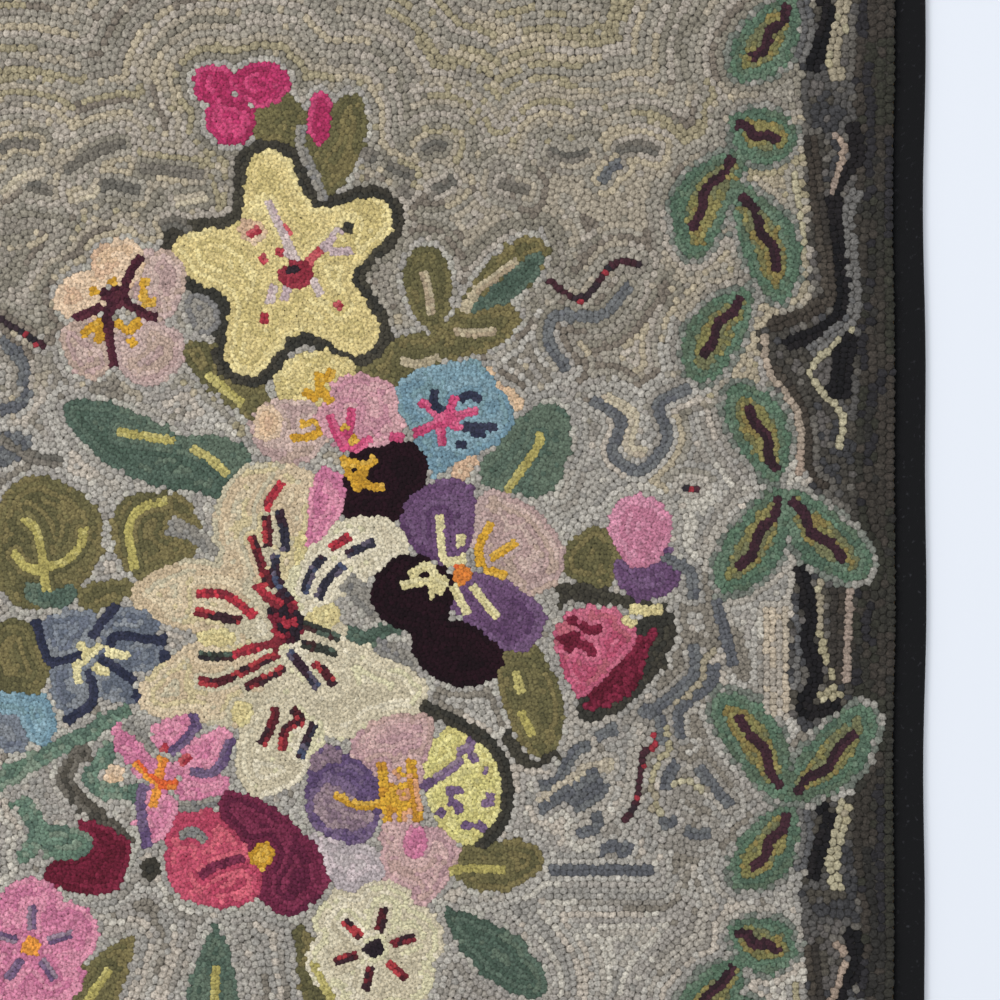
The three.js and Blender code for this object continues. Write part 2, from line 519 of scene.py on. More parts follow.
dark_edge = kind(
    "pile_dark_edge", EDGE_LOOP,
    [(53, 51, 45), (48, 46, 43), (60, 55, 49), (45, 43, 45), (52, 51, 43), (64, 58, 52)], run=5,
    fleck=0.1,
)
scroll = kind(
    "pile_scroll", SCROLL_LOOP,
    [(70, 66, 60), (83, 80, 77), (64, 63, 64), (94, 89, 85), (77, 72, 64), (101, 96, 89)], run=9,
    fleck=0.1,
)
black = kind("pile_scroll", (4.4, 3.6), [(27, 25, 27), (32, 29, 30), (23, 22, 24)], fleck=0.1)
taupe = kind("pile_scroll", (4.6, 4.0), [(66, 59, 52), (74, 67, 59), (59, 54, 49)], fleck=0.1)
cream_line = kind("pile_scroll", (4.8, 4.6), [(166, 156, 126), (173, 164, 136), (158, 147, 125)])
beige_line = kind("pile_scroll", (4.0, 3.6), [(160, 141, 125), (167, 151, 134), (153, 136, 123)])
beige = kind("pile_scroll", (4.0, 4.0), [(179, 166, 147), (188, 173, 152), (168, 158, 145)], run=14)
ash_line = kind("pile_scroll", (4.4, 4.2), [(101, 99, 97), (111, 108, 104), (92, 91, 91)])
leaf_rim = kind(
    "pile_vine", RIB_LOOP, [(86, 109, 88), (93, 116, 95), (81, 102, 84), (99, 118, 98), (88, 104, 84)],
    run=4, fleck=0.09,
)
leaf_heart = kind(
    "pile_vine", RIB_LOOP,
    [(126, 121, 74), (137, 128, 79), (117, 113, 72), (131, 116, 68), (111, 111, 78)], run=5, fleck=0.09,
)
leaf_rib = kind("pile_vine", (2.7, 2.9), [(54, 28, 37), (45, 25, 32), (62, 33, 42)], run=5)
vine_row = kind(
    "pile_ground", (3.7, 3.5),
    [(152, 147, 138), (112, 116, 106), (124, 126, 116), (142, 138, 129), (106, 111, 101)], run=7,
)
pale_row = kind(
    "pile_ground", (3.7, 3.5), [(168, 161, 150), (160, 154, 145), (173, 168, 156), (154, 148, 140)],
    run=7,
)


def on_side(turned, points):
    """Points drawn for the right-hand side of the rug, turned by quarters to another side."""
    points = np.array(points, float)
    from_edge = PILE_HALF[0] - points[:, 0]
    along = points[:, 1]
    x, y = (
        (points[:, 0], along),
        (-along, PILE_HALF[1] - from_edge),
        (-points[:, 0], -along),
        (along, from_edge - PILE_HALF[1]),
    )[turned]
    return np.stack([x, y], 1)


# The border is charcoal wool next to the tape, then a scroll with wandering lines in it. It is
# drawn for one stretch of the right-hand side and repeated round the rug.
EDGE_WIDE = 24
EDGE_WANDER = (2, 19)
EDGE_WANDER_SLOW = (1.5, 47)
EDGE_POINT_STEP = 4
TO_TAPE = 2
REPEAT = 500
SCROLL_INNER = [
    (372, 309), (378, 192), (365, 176), (349, 170), (347, 153), (373, 80), (412, 32), (409, 14),
    (371, 25), (368, -75), (402, -67), (415, -72), (419, -99), (405, -121), (382, -124), (371, -191),
]
scroll_repeats = [0, -REPEAT, REPEAT]
SCROLL_LINES = [
    (taupe, 2, [(378, 287), (389, 201), (386, 184), (353, 169)]),
    (beige_line, 1, [(393, 288), (399, 277), (391, 250)]),
    (ash_line, 2, [(407, 253), (402, 238), (405, 192), (402, 174), (377, 153)]),
    (black, 2, [(404, 295), (407, 272), (394, 251), (397, 180), (363, 157)]),
    (cream_line, 1, [(368, 265), (375, 201), (367, 183)]),
    (cream_line, 1, [(404, 168), (379, 145), (383, 131), (397, 115), (396, 93)]),
    (black, 3, [(400, 164), (395, 124)]),
    (beige_line, 1, [(349, 164), (352, 141), (370, 114), (371, 75)]),
    (taupe, 1, [(357, 143), (374, 117), (378, 80), (389, 69)]), (beige, 4, [(356, -4), (357, -73)]),
    (ash_line, 1, [(368, -4), (370, -25), (368, -56)]),
    (black, 2, [(371, 21), (378, -11), (375, -25), (382, -46), (373, -64), (379, -69), (397, -64)]),
    (cream_line, 1, [(384, 14), (384, -25), (392, -52), (384, -59), (399, -59)]),
    (taupe, 2, [(395, 7), (393, -53)]), (beige_line, 1, [(402, 7), (399, -51)]),
    (black, 1, [(382, -130), (390, -127)]), (ash_line, 2, [(373, -129), (376, -146), (371, -167)]),
    (black, 2, [(391, -131), (379, -173)]), (cream_line, 2, [(400, -124), (392, -161), (395, -179)]),
]
HALF_OF_SIDE = (PILE_HALF[1], PILE_HALF[0], PILE_HALF[1], PILE_HALF[0])
for turned in range(4):
    for repeat in scroll_repeats:
        inner = smooth_line([(x, y + repeat) for x, y in SCROLL_INNER])
        inner = inner[np.abs(inner[:, 1]) < HALF_OF_SIDE[turned]]
        if len(inner) > 2:
            outer = [(PILE_HALF[0], inner[-1, 1]), (PILE_HALF[0], inner[0, 1])]
            draw(scroll, on_side(turned, np.vstack([inner, outer])))
for turned in range(4):
    half = HALF_OF_SIDE[turned] - EDGE_WIDE
    for repeat in scroll_repeats:
        for area, rows, points in SCROLL_LINES:
            moved = [(x, y + repeat) for x, y in points]
            if all(abs(y) < half for x, y in moved):
                draw_line(area, on_side(turned, moved), rows)
edge_frame = [
    (
        PILE_HALF[0]
        - EDGE_WIDE
        + EDGE_WANDER[0] * math.sin(y / EDGE_WANDER[1])
        + EDGE_WANDER_SLOW[0] * math.sin(y / EDGE_WANDER_SLOW[1]),
        y,
    )
    for y in np.arange(
        -PILE_HALF[1] + EDGE_WIDE / 2, PILE_HALF[1] - EDGE_WIDE / 2, EDGE_POINT_STEP
    )
]
for turned in range(4):
    half = HALF_OF_SIDE[turned]
    run = [(x, y) for x, y in edge_frame if abs(y) < half - EDGE_WIDE / 2]
    at_tape = PILE_HALF[0] + TO_TAPE
    ends = [(at_tape, run[-1][1] + EDGE_WIDE), (at_tape, run[0][1] - EDGE_WIDE)]
    draw(dark_edge, on_side(turned, run + ends))

# The vine has pairs of oval leaves, each with a grey-green rim two loops wide, an olive heart and
# a dark rib. A leaf is given by its foot, its tip and how far it bends.
VINE_WIDE = 35
HEART_WIDE = 19
VINE_SHAPE = (0.56, 0.55)
VINE_ROW = 3.6
HEART_FROM = 0.1
HEART_TO = 0.12
HEART_BEND = 0.8
RIB_PLACES = (0.1, 0.25, 0.42, 0.58, 0.76)
RIB_SWAY = (0.6, -0.8, 1.0, -0.7, 0.4)
RIB_SWAY_MM = 2.0
ROOM_ON_LONG_SIDE = 20
ROOM_ON_END = 55
ROOM_IN_CORNER = 115
VINE_LEAVES = [
    ((328, 297), (369, 281), 2), ((336, 279), (302, 210), 8), ((331, 257), (361, 184), -6),
    ((340, 192), (305, 135), 4), ((358, 73), (329, 133), 4), ((361, 70), (321, 5), -4),
    ((362, 69), (414, 15), 5), ((362, -124), (319, -57), 5), ((362, -124), (417, -66), 4),
    ((367, -127), (331, -177), -3),
]
vine_shapes = []
for turned in range(4):
    for repeat in scroll_repeats:
        for foot, tip, bend in VINE_LEAVES:
            ends = np.array([foot, tip], float) + (0, repeat)
            room = ROOM_ON_LONG_SIDE if turned in (0, 2) else ROOM_ON_END
            if turned in (1, 3) and repeat < 0:
                room = ROOM_IN_CORNER
            if (np.abs(ends[:, 1]) < HALF_OF_SIDE[turned] - room).all():
                vine_shapes.append((*on_side(turned, ends), bend))
for foot, tip, bend in vine_shapes:
    draw(vine_row, grown(petal(foot, tip, VINE_WIDE, *VINE_SHAPE, bend), VINE_ROW))
for foot, tip, bend in vine_shapes:
    draw(leaf_rim, petal(foot, tip, VINE_WIDE, *VINE_SHAPE, bend))
    heart_foot = foot + HEART_FROM * (tip - foot)
    heart_tip = tip - HEART_TO * (tip - foot)
    draw(leaf_heart, petal(heart_foot, heart_tip, HEART_WIDE, *VINE_SHAPE, bend * HEART_BEND))
for foot, tip, bend in vine_shapes:
    along = tip - foot
    across = np.array([along[1], -along[0]]) / np.hypot(*along)
    rib = [
        foot + part * along + (math.sin(math.pi * part) * bend + RIB_SWAY_MM * side) * across
        for part, side in zip(RIB_PLACES, RIB_SWAY)
    ]
    draw_line(leaf_rib, rib, 2)

# The bouquet. Its leaves lie behind its flowers, and one pale row of the ground goes round them all.
bouquet = []


def plan(area, *shapes):
    """Sets down shapes in the order they are drawn, so a later one covers an earlier one."""
    bouquet.extend((area, shape) for shape in shapes)


def plan_lines(area, *lines):
    """Sets down streaks, each a line through a few places."""
    bouquet.extend((area, tuple(line)) for line in lines)


teal_leaf = kind(
    "pile_leaves", LEAF_LOOP, [(85, 101, 87), (78, 95, 82), (70, 87, 74), (93, 107, 91)], run=14,
)
olive_leaf = kind(
    "pile_leaves", LEAF_LOOP, [(109, 101, 65), (99, 93, 60), (118, 107, 69), (92, 87, 56)], run=14,
)
grey_leaf = kind(
    "pile_leaves", LEAF_LOOP, [(96, 118, 100), (106, 128, 110), (86, 106, 92), (118, 132, 114)], run=3,
)
vein = kind("pile_leaves", STREAK_LOOP, [(172, 160, 92), (162, 150, 86), (180, 168, 104)])
charcoal = kind("pile_leaves", (4.0, 3.4), [(58, 54, 45), (51, 49, 42), (65, 61, 50)], run=10)
slate = kind("pile_leaves", (3.3, 3.3), [(132, 128, 121), (123, 120, 117), (142, 136, 126)])
tan_vein = kind("pile_leaves", STREAK_LOOP, [(172, 158, 130), (164, 146, 120), (180, 166, 138)])

# Two olive leaves at the head of the bouquet, and over them the magenta flower that ends it, made
# of four rounds.
magenta = kind("pile_petals_warm", FLOWER_LOOP, [(176, 50, 96), (160, 42, 84), (188, 66, 108)])
plan(olive_leaf, petal((74, 242), (38, 319), 34, 0.6, 0.5), petal((75, 242), (96, 314), 28, 0.6))
plan(
    magenta, round_patch((19, 297), 31, 30), round_patch((74, 298), 14, 34),
    round_patch((38, 319), 34, 28), round_patch((9, 319), 26, 24),
)
plan_lines(slate, [(77, 247), (63, 281), (63, 294)])

# Leaves on the left, of teal or olive wool, veined with short rows of pale yellow.
plan(olive_leaf, petal((52, 101), (-10, 159), 25, 0.6, 0.55, 3))
plan(teal_leaf, petal((42, 67), (-85, 121), 37, 0.62, 0.6, -6), petal((-14, 96), (28, 73), 37, 0.66, 0.3))
plan(
    olive_leaf, round_patch((-96, 36), 68, 82, -8, 0.06, 3, 1.0), round_patch((-27, 39), 55, 60, 0, 0.06),
    petal((-35, 10), (-77, 1), 17, 0.66, 0.3, -1), round_patch((-114, -38), 53, 42, 92),
)
plan(teal_leaf, round_patch((-85, 2), 19, 12, -154), round_patch((-100, 3), 20, 12, 153))
plan_lines(
    vein, [(-51, 104), (-34, 101), (-15, 99)], [(-5, 94), (7, 87), (17, 77)],
    [(4, 140), (17, 129), (27, 121)], [(-95, 6), (-100, 40), (-109, 51)],
    [(-96, 21), (-85, 23), (-74, 33), (-72, 44)], [(-96, 17), (-108, 21), (-116, 30)],
    [(-20, 61), (-36, 57), (-44, 44), (-40, 19)],
)

# Leaves on the upper right, teal and olive, with veins of tan or pale yellow wool.
plan(
    olive_leaf, petal((94, 137), (156, 161), 26, 0.5, 0.5), petal((137, 153), (198, 177), 28, 0.55, 0.5),
    petal((146, 163), (137, 220), 29, 0.6, 0.5), petal((153, 167), (213, 222), 28, 0.66, 0.5),
)
plan(teal_leaf, petal((167, 177), (213, 216), 15, 0.6, 0.5, 3))
plan_lines(
    tan_vein, [(138, 203), (141, 192), (143, 176)], [(196, 210), (171, 191), (163, 178)],
    [(157, 166), (169, 165), (183, 166)], [(124, 148), (136, 146), (148, 150)],
)
plan(teal_leaf, petal((219, 70), (184, 98), 66, 0.66, 0.3, 10))
plan_lines(vein, [(210, 104), (209, 95), (190, 68)])

# Olive leaves on the lower right, and the charcoal stems that carry the buds.
plan(olive_leaf, petal((188, -14), (215, -101), 36, 0.5, 0.6, -3))
plan_lines(vein, [(195, -44), (199, -58)], [(198, -69), (206, -84)])
plan(olive_leaf, petal((221, 21), (261, 29), 38, 0.66, 0.45, -1))
plan(charcoal, ribbon([(221, 4), (235, 5), (287, -7)], 13, 6))
plan(olive_leaf, petal((185, -179), (181, -150), 58, 0.6, 0.3, 1))
plan_lines(vein, [(154, -167), (168, -166), (189, -167)])
plan(charcoal, ribbon([(188, -82), (203, -101), (221, -95)], 9, 5))

# Curls on the lower left: tapering ribbons of grey-green wool, and one of dark brown.
mud = kind("pile_leaves", (3.4, 3.3), [(84, 78, 68), (104, 98, 88), (70, 66, 58)], run=4)
plan(
    grey_leaf, ribbon([(-130, -115), (-44, -68)], 11, 8),
    ribbon([(-54, -91), (-67, -107), (-62, -116), (-39, -119)], 9.6, 9),
)
plan(mud, ribbon([(-67, -93), (-79, -100), (-82, -115), (-42, -152)], 11, 8))
plan(grey_leaf, ribbon([(-111, -124), (-100, -142), (-110, -162)], 12, 8))

# The big yellow flower is a blunt star with charcoal rows round it. Its heart is red, and short
# rows of red and lilac wool mark its petals.
yellow = kind(
    "pile_petals_pale", FLOWER_LOOP, [(212, 193, 134), (204, 185, 127), (196, 178, 119), (217, 200, 143)],
    run=12, fleck=0.05,
)
red_mark = kind("pile_petals_warm", STREAK_LOOP, [(172, 60, 70), (160, 48, 60), (184, 84, 88)])
lilac_mark = kind("pile_petals_pale", STREAK_LOOP, [(196, 178, 172), (186, 164, 164)])
heart_red = kind("pile_petals_warm", STREAK_LOOP, [(132, 38, 52), (148, 50, 62)])
near_black = kind("pile_petals_dark", STREAK_LOOP, [(36, 27, 34), (45, 34, 40)])
peach = kind("pile_petals_pale", FLOWER_LOOP, [(207, 176, 143), (199, 166, 137), (212, 185, 156)])
STAR_MIDDLE = (54, 206)
STAR_TIP = 69
STAR_NOTCH = 41
STAR_BLUNT = 9
STAR_TURNED = 101
STAR_POINTS = 5
STAR_ROWS = 7.4


def blunt_star(middle):
    """A star with blunt points, the same all round."""
    corners = []
    for number in range(STAR_POINTS):
        way = STAR_TURNED + 360 / STAR_POINTS * number
        to_notch = 180 / STAR_POINTS
        for turn, reach in ((-STAR_BLUNT, STAR_TIP), (STAR_BLUNT, STAR_TIP), (to_notch, STAR_NOTCH)):
            angle = math.radians(way + turn)
            corners.append((middle[0] + reach * math.cos(angle), middle[1] + reach * math.sin(angle)))
    return smooth_line(corners, closed=True)


star = blunt_star(STAR_MIDDLE)
plan(slate, round_patch((4, 182), 27, 34, 0, 0.08))
plan(charcoal, grown(star, STAR_ROWS))
plan(yellow, star)
plan(peach, round_patch((32, 228), 20, 14, -20))
plan_lines(
    lilac_mark, [(59, 210), (42, 247)], [(59, 211), (52, 216)], [(75, 216), (83, 225), (87, 229)],
    [(46, 195), (43, 183)], [(54, 193), (52, 185)], [(70, 198), (75, 188)], [(80, 215), (94, 216)],
)
plan_lines(
    red_mark, [(67, 209), (72, 214), (77, 220)], [(38, 213), (41, 208)], [(51, 231), (56, 225)],
    [(84, 184), (88, 180)], [(40, 178), (40, 171)], [(30, 225), (37, 230)], [(47, 216), (51, 214)],
)
plan(heart_red, round_patch((59, 201), 22, 17, 8))
plan(near_black, round_patch((58, 204), 8, 7))
plan(peach, round_patch((-52, -107), 14, 11))
plan_lines(charcoal, [(88, 231), (95, 229)])

# The small pansy on the left: two peach petals above three mauve ones, round a maroon heart with
# whiskers of maroon and gold.
mauve = kind(
    "pile_petals_pale", FLOWER_LOOP, [(183, 158, 151), (174, 147, 141), (193, 168, 157), (178, 154, 139)],
    run=8,
)
gold = kind("pile_petals_pale", STREAK_LOOP, [(201, 153, 48), (188, 140, 41), (209, 165, 69)])
maroon_line = kind("pile_petals_dark", STREAK_LOOP, [(72, 32, 44), (60, 28, 38), (84, 40, 50)])
plan(
    mauve, round_patch((-26, 196), 35, 44, 0, 0.05), round_patch((-69, 157), 32, 38, 10, 0.05),
    round_patch((-32, 154), 44, 40, -10, 0.05),
)
plan(peach, round_patch((-50, 208), 32, 30, 8, 0.05), round_patch((-73, 188), 33, 29, 30, 0.05))
plan(maroon_line, round_patch((-53, 188), 16, 14, 0, 0.15))
plan_lines(
    maroon_line, [(-47, 194), (-41, 206), (-36, 213)], [(-61, 182), (-68, 178), (-77, 174)],
    [(-48, 185), (-40, 180), (-26, 174)], [(-54, 184), (-57, 172), (-53, 145)],
)
plan_lines(
    gold, [(-55, 199), (-53, 194)], [(-68, 190), (-63, 192)], [(-33, 199), (-35, 184), (-27, 185)],
    [(-72, 164), (-64, 171), (-61, 166), (-64, 159)], [(-52, 171), (-44, 167), (-37, 172)],
    [(-43, 161), (-40, 157)],
)

# The pansy above the lily has yellow, mauve and pink petals and a large maroon one, with marks of
# gold and hot pink.
pink = kind("pile_petals_warm", FLOWER_LOOP, [(197, 147, 154), (189, 135, 147), (203, 158, 160)], run=7)
hot_pink = kind("pile_petals_warm", STREAK_LOOP, [(196, 78, 116), (184, 66, 104), (204, 96, 128)])
maroon = kind("pile_petals_dark", FLOWER_LOOP, [(29, 8, 17), (25, 7, 15), (32, 9, 19)], run=10, fleck=0.1)
orchid = kind("pile_petals_warm", FLOWER_LOOP, [(200, 124, 150), (189, 112, 141), (208, 138, 158)], run=8)
plan(yellow, round_patch((72, 133), 50, 42, 10, 0.05))
plan(mauve, round_patch((56, 105), 50, 40, -5, 0.05))
plan(peach, round_patch((42, 109), 18, 22))
plan(pink, round_patch((101, 115), 56, 50, 0, 0.05, 4))
plan(maroon, petal((126, 54), (94, 91), 63, 0.4, 0.8, 4))
plan_lines(
    hot_pink, [(80, 115), (84, 104), (90, 93)], [(94, 119), (93, 109), (90, 99)],
    [(106, 100), (99, 95), (93, 91)], [(117, 101), (126, 100)],
)
plan_lines(
    gold, [(73, 141), (75, 130), (82, 122)], [(82, 143), (79, 135)], [(64, 129), (73, 125)],
    [(56, 100), (68, 101), (75, 105)], [(62, 109), (72, 110)], [(88, 86), (102, 83), (109, 88)],
    [(89, 79), (98, 77), (103, 80)], [(95, 75), (98, 67)], [(99, 75), (106, 70), (114, 70)],
    [(90, 96), (98, 100)], [(88, 108), (93, 103)],
)

# The sky-blue flower is one broad patch with peach at two of its edges. It has navy marks and a hot
# pink star with a round heart.
sky = kind(
    "pile_petals_cool", FLOWER_LOOP, [(122, 151, 162), (110, 139, 152), (129, 156, 166), (116, 143, 149)],
    run=9,
)
navy = kind("pile_petals_cool", STREAK_LOOP, [(44, 47, 67), (37, 41, 61), (51, 53, 72)])
plan(
    peach, ribbon([(195, 116), (192, 126), (181, 133), (177, 144)], 9, 6),
    petal((160, 91), (170, 82), 22, 0.66, 0.45, 2),
)
plan(sky, petal((144, 74), (171, 149), 75, 0.6, 1, -3))
plan_lines(
    navy, [(145, 130), (145, 122), (149, 117)], [(161, 124), (167, 127), (174, 124)],
    [(163, 107), (184, 107)], [(167, 103), (177, 103)], [(158, 96), (165, 96)],
)
plan_lines(
    hot_pink, [(135, 123), (142, 119), (151, 112)], [(158, 126), (155, 119), (152, 112)],
    [(172, 117), (163, 115), (153, 111)], [(132, 103), (140, 106), (148, 110)],
    [(150, 95), (149, 103), (150, 109)], [(161, 106), (155, 109)],
)
plan(hot_pink, round_patch((151, 112), 9, 8))

# The lily is the middle of the bouquet: six cream petals streaked with red, brown, blue and green,
# round a heart of mixed dark reds.
cream = kind(
    "pile_petals_pale", FLOWER_LOOP,
    [(208, 197, 170), (201, 189, 162), (214, 203, 178), (193, 181, 154), (205, 197, 162)], run=14,
    fleck=0.05,
)
warm_cream = kind(
    "pile_petals_pale", FLOWER_LOOP,
    [(201, 181, 151), (193, 172, 141), (207, 189, 158), (199, 183, 143), (189, 178, 151)], run=12,
    fleck=0.05,
)
pale_yellow = kind("pile_petals_pale", FLOWER_LOOP, [(207, 193, 141), (201, 185, 133)])
bright_red = kind("pile_petals_warm", (2.8, 2.9), [(186, 52, 64), (164, 46, 58), (124, 38, 48)], run=1.6)
brown_red = kind(
    "pile_petals_dark", (2.8, 2.9), [(112, 38, 46), (78, 32, 38), (164, 58, 62), (56, 34, 40)], run=1.6,
)
dark_blue = kind(
    "pile_petals_dark", (2.8, 2.9), [(48, 46, 58), (70, 76, 98), (54, 36, 46), (92, 84, 98)], run=1.6,
)
dark_green = kind(
    "pile_petals_dark", (2.8, 2.9), [(52, 54, 48), (66, 42, 42), (80, 92, 80), (46, 40, 44)], run=1.6,
)
plan(warm_cream, petal((51, 85), (39, -7), 61, 0.4, 0.3, 7))
plan(cream, petal((127, 42), (57, -6), 41, 0.5, 0.3, 10))
plan(orchid, petal((67, 32), (81, 82), 22, 0.66, 0.45, 3))
plan(warm_cream, petal((7, 25), (-1, -20), 90, 0.66, 0.3), petal((6, -22), (25, -77), 99, 0.4, 0.8, 6))
plan(
    cream, petal((140, -66), (59, -11), 62, 0.5, 0.45, -19),
    petal((66, -27), (33, -121), 52, 0.6, 0.6, -5), round_patch((51, -17), 40, 44),
)
plan(
    pale_yellow, round_patch((76, -11), 26, 15, 20), round_patch((10, -23), 24, 12),
    round_patch((26, -70), 14, 14), round_patch((62, 33), 8, 22),
)
plan(teal_leaf, ribbon([(91, -21), (106, -23), (125, -13)], 10, 7))
plan(
    slate, ribbon([(-20, 47), (-5, 41), (11, 28)], 12, 8),
    ribbon([(89, 12), (100, 4), (112, -10)], 14, 12), ribbon([(108, -28), (122, -33), (135, -41)], 11, 9),
)
plan_lines(
    bright_red, [(51, 73), (44, 63), (40, 55)], [(-2, 4), (16, 3), (34, -10)],
    [(34, 10), (42, 2), (50, -4)], [(81, 32), (93, 40)], [(20, -34), (51, -25)],
)
plan_lines(
    brown_red, [(41, 52), (42, 42), (42, 33)], [(32, 40), (43, 7)], [(-3, -7), (25, -13)],
    [(-1, -50), (14, -50), (49, -33)], [(28, -54), (40, -49), (52, -42)],
    [(70, -39), (77, -44), (83, -53)], [(46, -66), (46, -73), (38, -90)],
    [(57, -67), (62, -74), (53, -80), (51, -93)],
)
plan_lines(
    dark_blue, [(49, 56), (52, 43), (53, 30)], [(46, 28), (48, 14), (53, 2)],
    [(64, 4), (70, 19), (77, 27)], [(73, 1), (78, 11), (89, 22)], [(90, 28), (108, 36)],
    [(55, -32), (62, -40), (73, -54)], [(71, -76), (66, -87), (62, -98)],
)
plan_lines(
    dark_green, [(-1, -34), (10, -35), (20, -35)], [(64, -15), (77, -20), (87, -24)],
    [(63, -27), (74, -30), (85, -33)],
)
lily_heart = kind(
    "pile_petals_dark", (3.2, 3.0), [(62, 28, 38), (112, 34, 48), (40, 30, 38), (156, 48, 60)], run=1,
)
plan(lily_heart, round_patch((53, -11), 34, 21, 109))

# The purple pansy has mauve, purple and maroon petals, with ivory and gold whiskers and an orange
# eye.
purple = kind(
    "pile_petals_cool", FLOWER_LOOP, [(104, 74, 107), (95, 66, 98), (87, 58, 91), (110, 82, 113)], run=9,
)
ivory = kind("pile_petals_pale", STREAK_LOOP, [(213, 201, 153), (205, 192, 140)])
plan(mauve, petal((215, 6), (175, 67), 51, 0.4, 0.6, -2))
plan(purple, petal((210, -23), (156, 10), 38, 0.4, 0.3), petal((124, 53), (170, 47), 54, 0.66, 0.3, 1))
plan(maroon, round_patch((159, -33), 58, 38, 164), round_patch((132, 4), 51, 47, 171))
plan_lines(
    ivory, [(148, 53), (150, 28), (155, 24), (164, 26)], [(161, 41), (161, 33)],
    [(129, 15), (140, 21), (145, 16)], [(124, 9), (142, 11), (151, 4)], [(146, 14), (153, 11)],
    [(142, 2), (144, 4)], [(156, 9), (166, -9)], [(168, 9), (184, -11)],
)
plan_lines(
    gold, [(180, 48), (173, 33), (174, 21)], [(196, 36), (180, 26)], [(177, 18), (183, 17), (190, 15)],
)
orange = kind("pile_petals_warm", STREAK_LOOP, [(214, 96, 46), (222, 146, 60), (206, 120, 50)])
plan(orange, round_patch((162, 16), 11, 13))

# The two buds on the right: one of purple and pink wool, and one of rose and crimson with charcoal
# behind it.
bud_pink = kind(
    "pile_petals_warm", FLOWER_LOOP, [(193, 126, 148), (183, 116, 138), (201, 138, 158)], run=10,
)
rose = kind(
    "pile_petals_warm", FLOWER_LOOP, [(183, 89, 114), (172, 75, 100), (193, 104, 125), (178, 95, 108)],
    run=9,
)
crimson = kind("pile_petals_dark", FLOWER_LOOP, [(106, 29, 49), (93, 24, 41), (118, 35, 56)])
plan(purple, round_patch((277, 17), 42, 32, 0, 0.06))
plan(bud_pink, round_patch((272, 43), 38, 46, 0, 0.05))
plan(charcoal, round_patch((264, -41), 85, 35, 49))
plan(crimson, petal((284, -16), (240, -68), 28, 0.6, 1, 1))
plan(rose, petal((234, -60), (258, -7), 47, 0.66, 0.45, -7))
plan_lines(
    crimson, [(227, -13), (233, -12)], [(235, -15), (242, -19), (248, -17)],
    [(222, -25), (233, -22), (227, -32)], [(234, -27), (242, -30), (242, -35)],
)
plan_lines(pale_yellow, [(266, -5), (275, -6), (285, -6)], [(262, -12), (269, -16)])

# The pansy at the foot of the bouquet has dusty pink, mauve and lime petals with violet marks, and
# a gold heart.
dusty = kind(
    "pile_petals_pale", FLOWER_LOOP, [(189, 154, 152), (179, 143, 145), (197, 164, 158), (183, 152, 143)],
    run=7,
)
violet = kind(
    "pile_petals_cool", FLOWER_LOOP, [(112, 89, 118), (100, 77, 108), (124, 100, 127), (141, 120, 135)],
    run=9,
)
petal_edge = kind("pile_petals_cool", (2.8, 2.9), [(98, 78, 112), (112, 92, 120), (90, 70, 104)])
pale_mauve = kind(
    "pile_petals_pale", FLOWER_LOOP, [(184, 172, 170), (172, 160, 160), (196, 180, 180)], run=4,
)
violet_heart = kind(
    "pile_petals_cool", FLOWER_LOOP, [(142, 120, 128), (128, 106, 118), (152, 130, 134)], run=4,
)
lime = kind("pile_petals_pale", FLOWER_LOOP, [(204, 194, 124), (196, 184, 116), (212, 202, 136)])
plan(pale_mauve, petal((69, -145), (114, -186), 36, 0.66, 0.6, -3))
plan(
    dusty, petal((113, -138), (143, -186), 50, 0.6, 0.6, -8),
    petal((143, -70), (106, -117), 52, 0.66, 0.45, 3), round_patch((124, -131), 28, 34),
)
plan(orchid, round_patch((133, -150), 15, 20))
plan(petal_edge, petal((113, -114), (67, -136), 64, 0.5, 0.8, 5))
plan(
    violet_heart, petal((108, -137), (72, -119), 24, 0.66, 0.3, -3), round_patch((82, -96), 13, 10, 147),
    round_patch((73, -100), 13, 10, 66),
)
plan(lime, round_patch((163, -115), 74, 47, 101))
plan_lines(charcoal, [(136, -64), (177, -87), (189, -108), (188, -134), (173, -153)])
plan_lines(
    violet, [(137, -117), (162, -99)], [(152, -118), (163, -117)],
    [(154, -124), (159, -127), (161, -132)], [(147, -130), (151, -133)],
    [(159, -94), (166, -91), (168, -87)], [(167, -99), (172, -97)], [(175, -105), (178, -106)],
    [(174, -125), (179, -125), (179, -119)], [(164, -142), (166, -137)], [(171, -138), (176, -142)],
)
gold_mix = kind("pile_petals_pale", (3.2, 3.0), [(208, 160, 52), (190, 136, 44), (206, 150, 110)], run=2)
plan(gold_mix, petal((125, -131), (122, -112), 22, 0.4, 0.3))
plan_lines(
    gold_mix, [(112, -100), (116, -136)], [(121, -104), (125, -110)], [(130, -98), (135, -137)],
    [(125, -124), (125, -137)],
)
plan_lines(gold, [(83, -120), (98, -127), (111, -126)])

# The slate-blue flower on the left, with a sky-blue one behind it. Navy rows part its petals, and
# ivory ones mark its middle.
slate_blue = kind(
    "pile_petals_cool", FLOWER_LOOP, [(116, 121, 129), (103, 108, 120), (126, 129, 133), (95, 101, 112)],
    run=8,
)
plan(
    sky, round_patch((-100, -74), 31, 21, 96), round_patch((-119, -66), 34, 18, -171),
    petal((-132, -72), (-148, -40), 26, 0.6, 0.5), petal((-132, -72), (-164, -87), 26, 0.6, 0.5),
)
plan(
    slate_blue, petal((-124, -91), (-113, -72), 35, 0.4, 0.8, -3),
    petal((-63, -11), (-99, -25), 27, 0.66, 0.3, -2), petal((-62, -21), (-25, -16), 19, 0.4, 0.3, -5),
    petal((-22, -34), (-57, -31), 23, 0.5, 0.6, -1), petal((-40, -61), (-67, -38), 18, 0.6, 0.3, -4),
    round_patch((-79, -53), 38, 26, 101), round_patch((-67, -33), 18, 18),
)
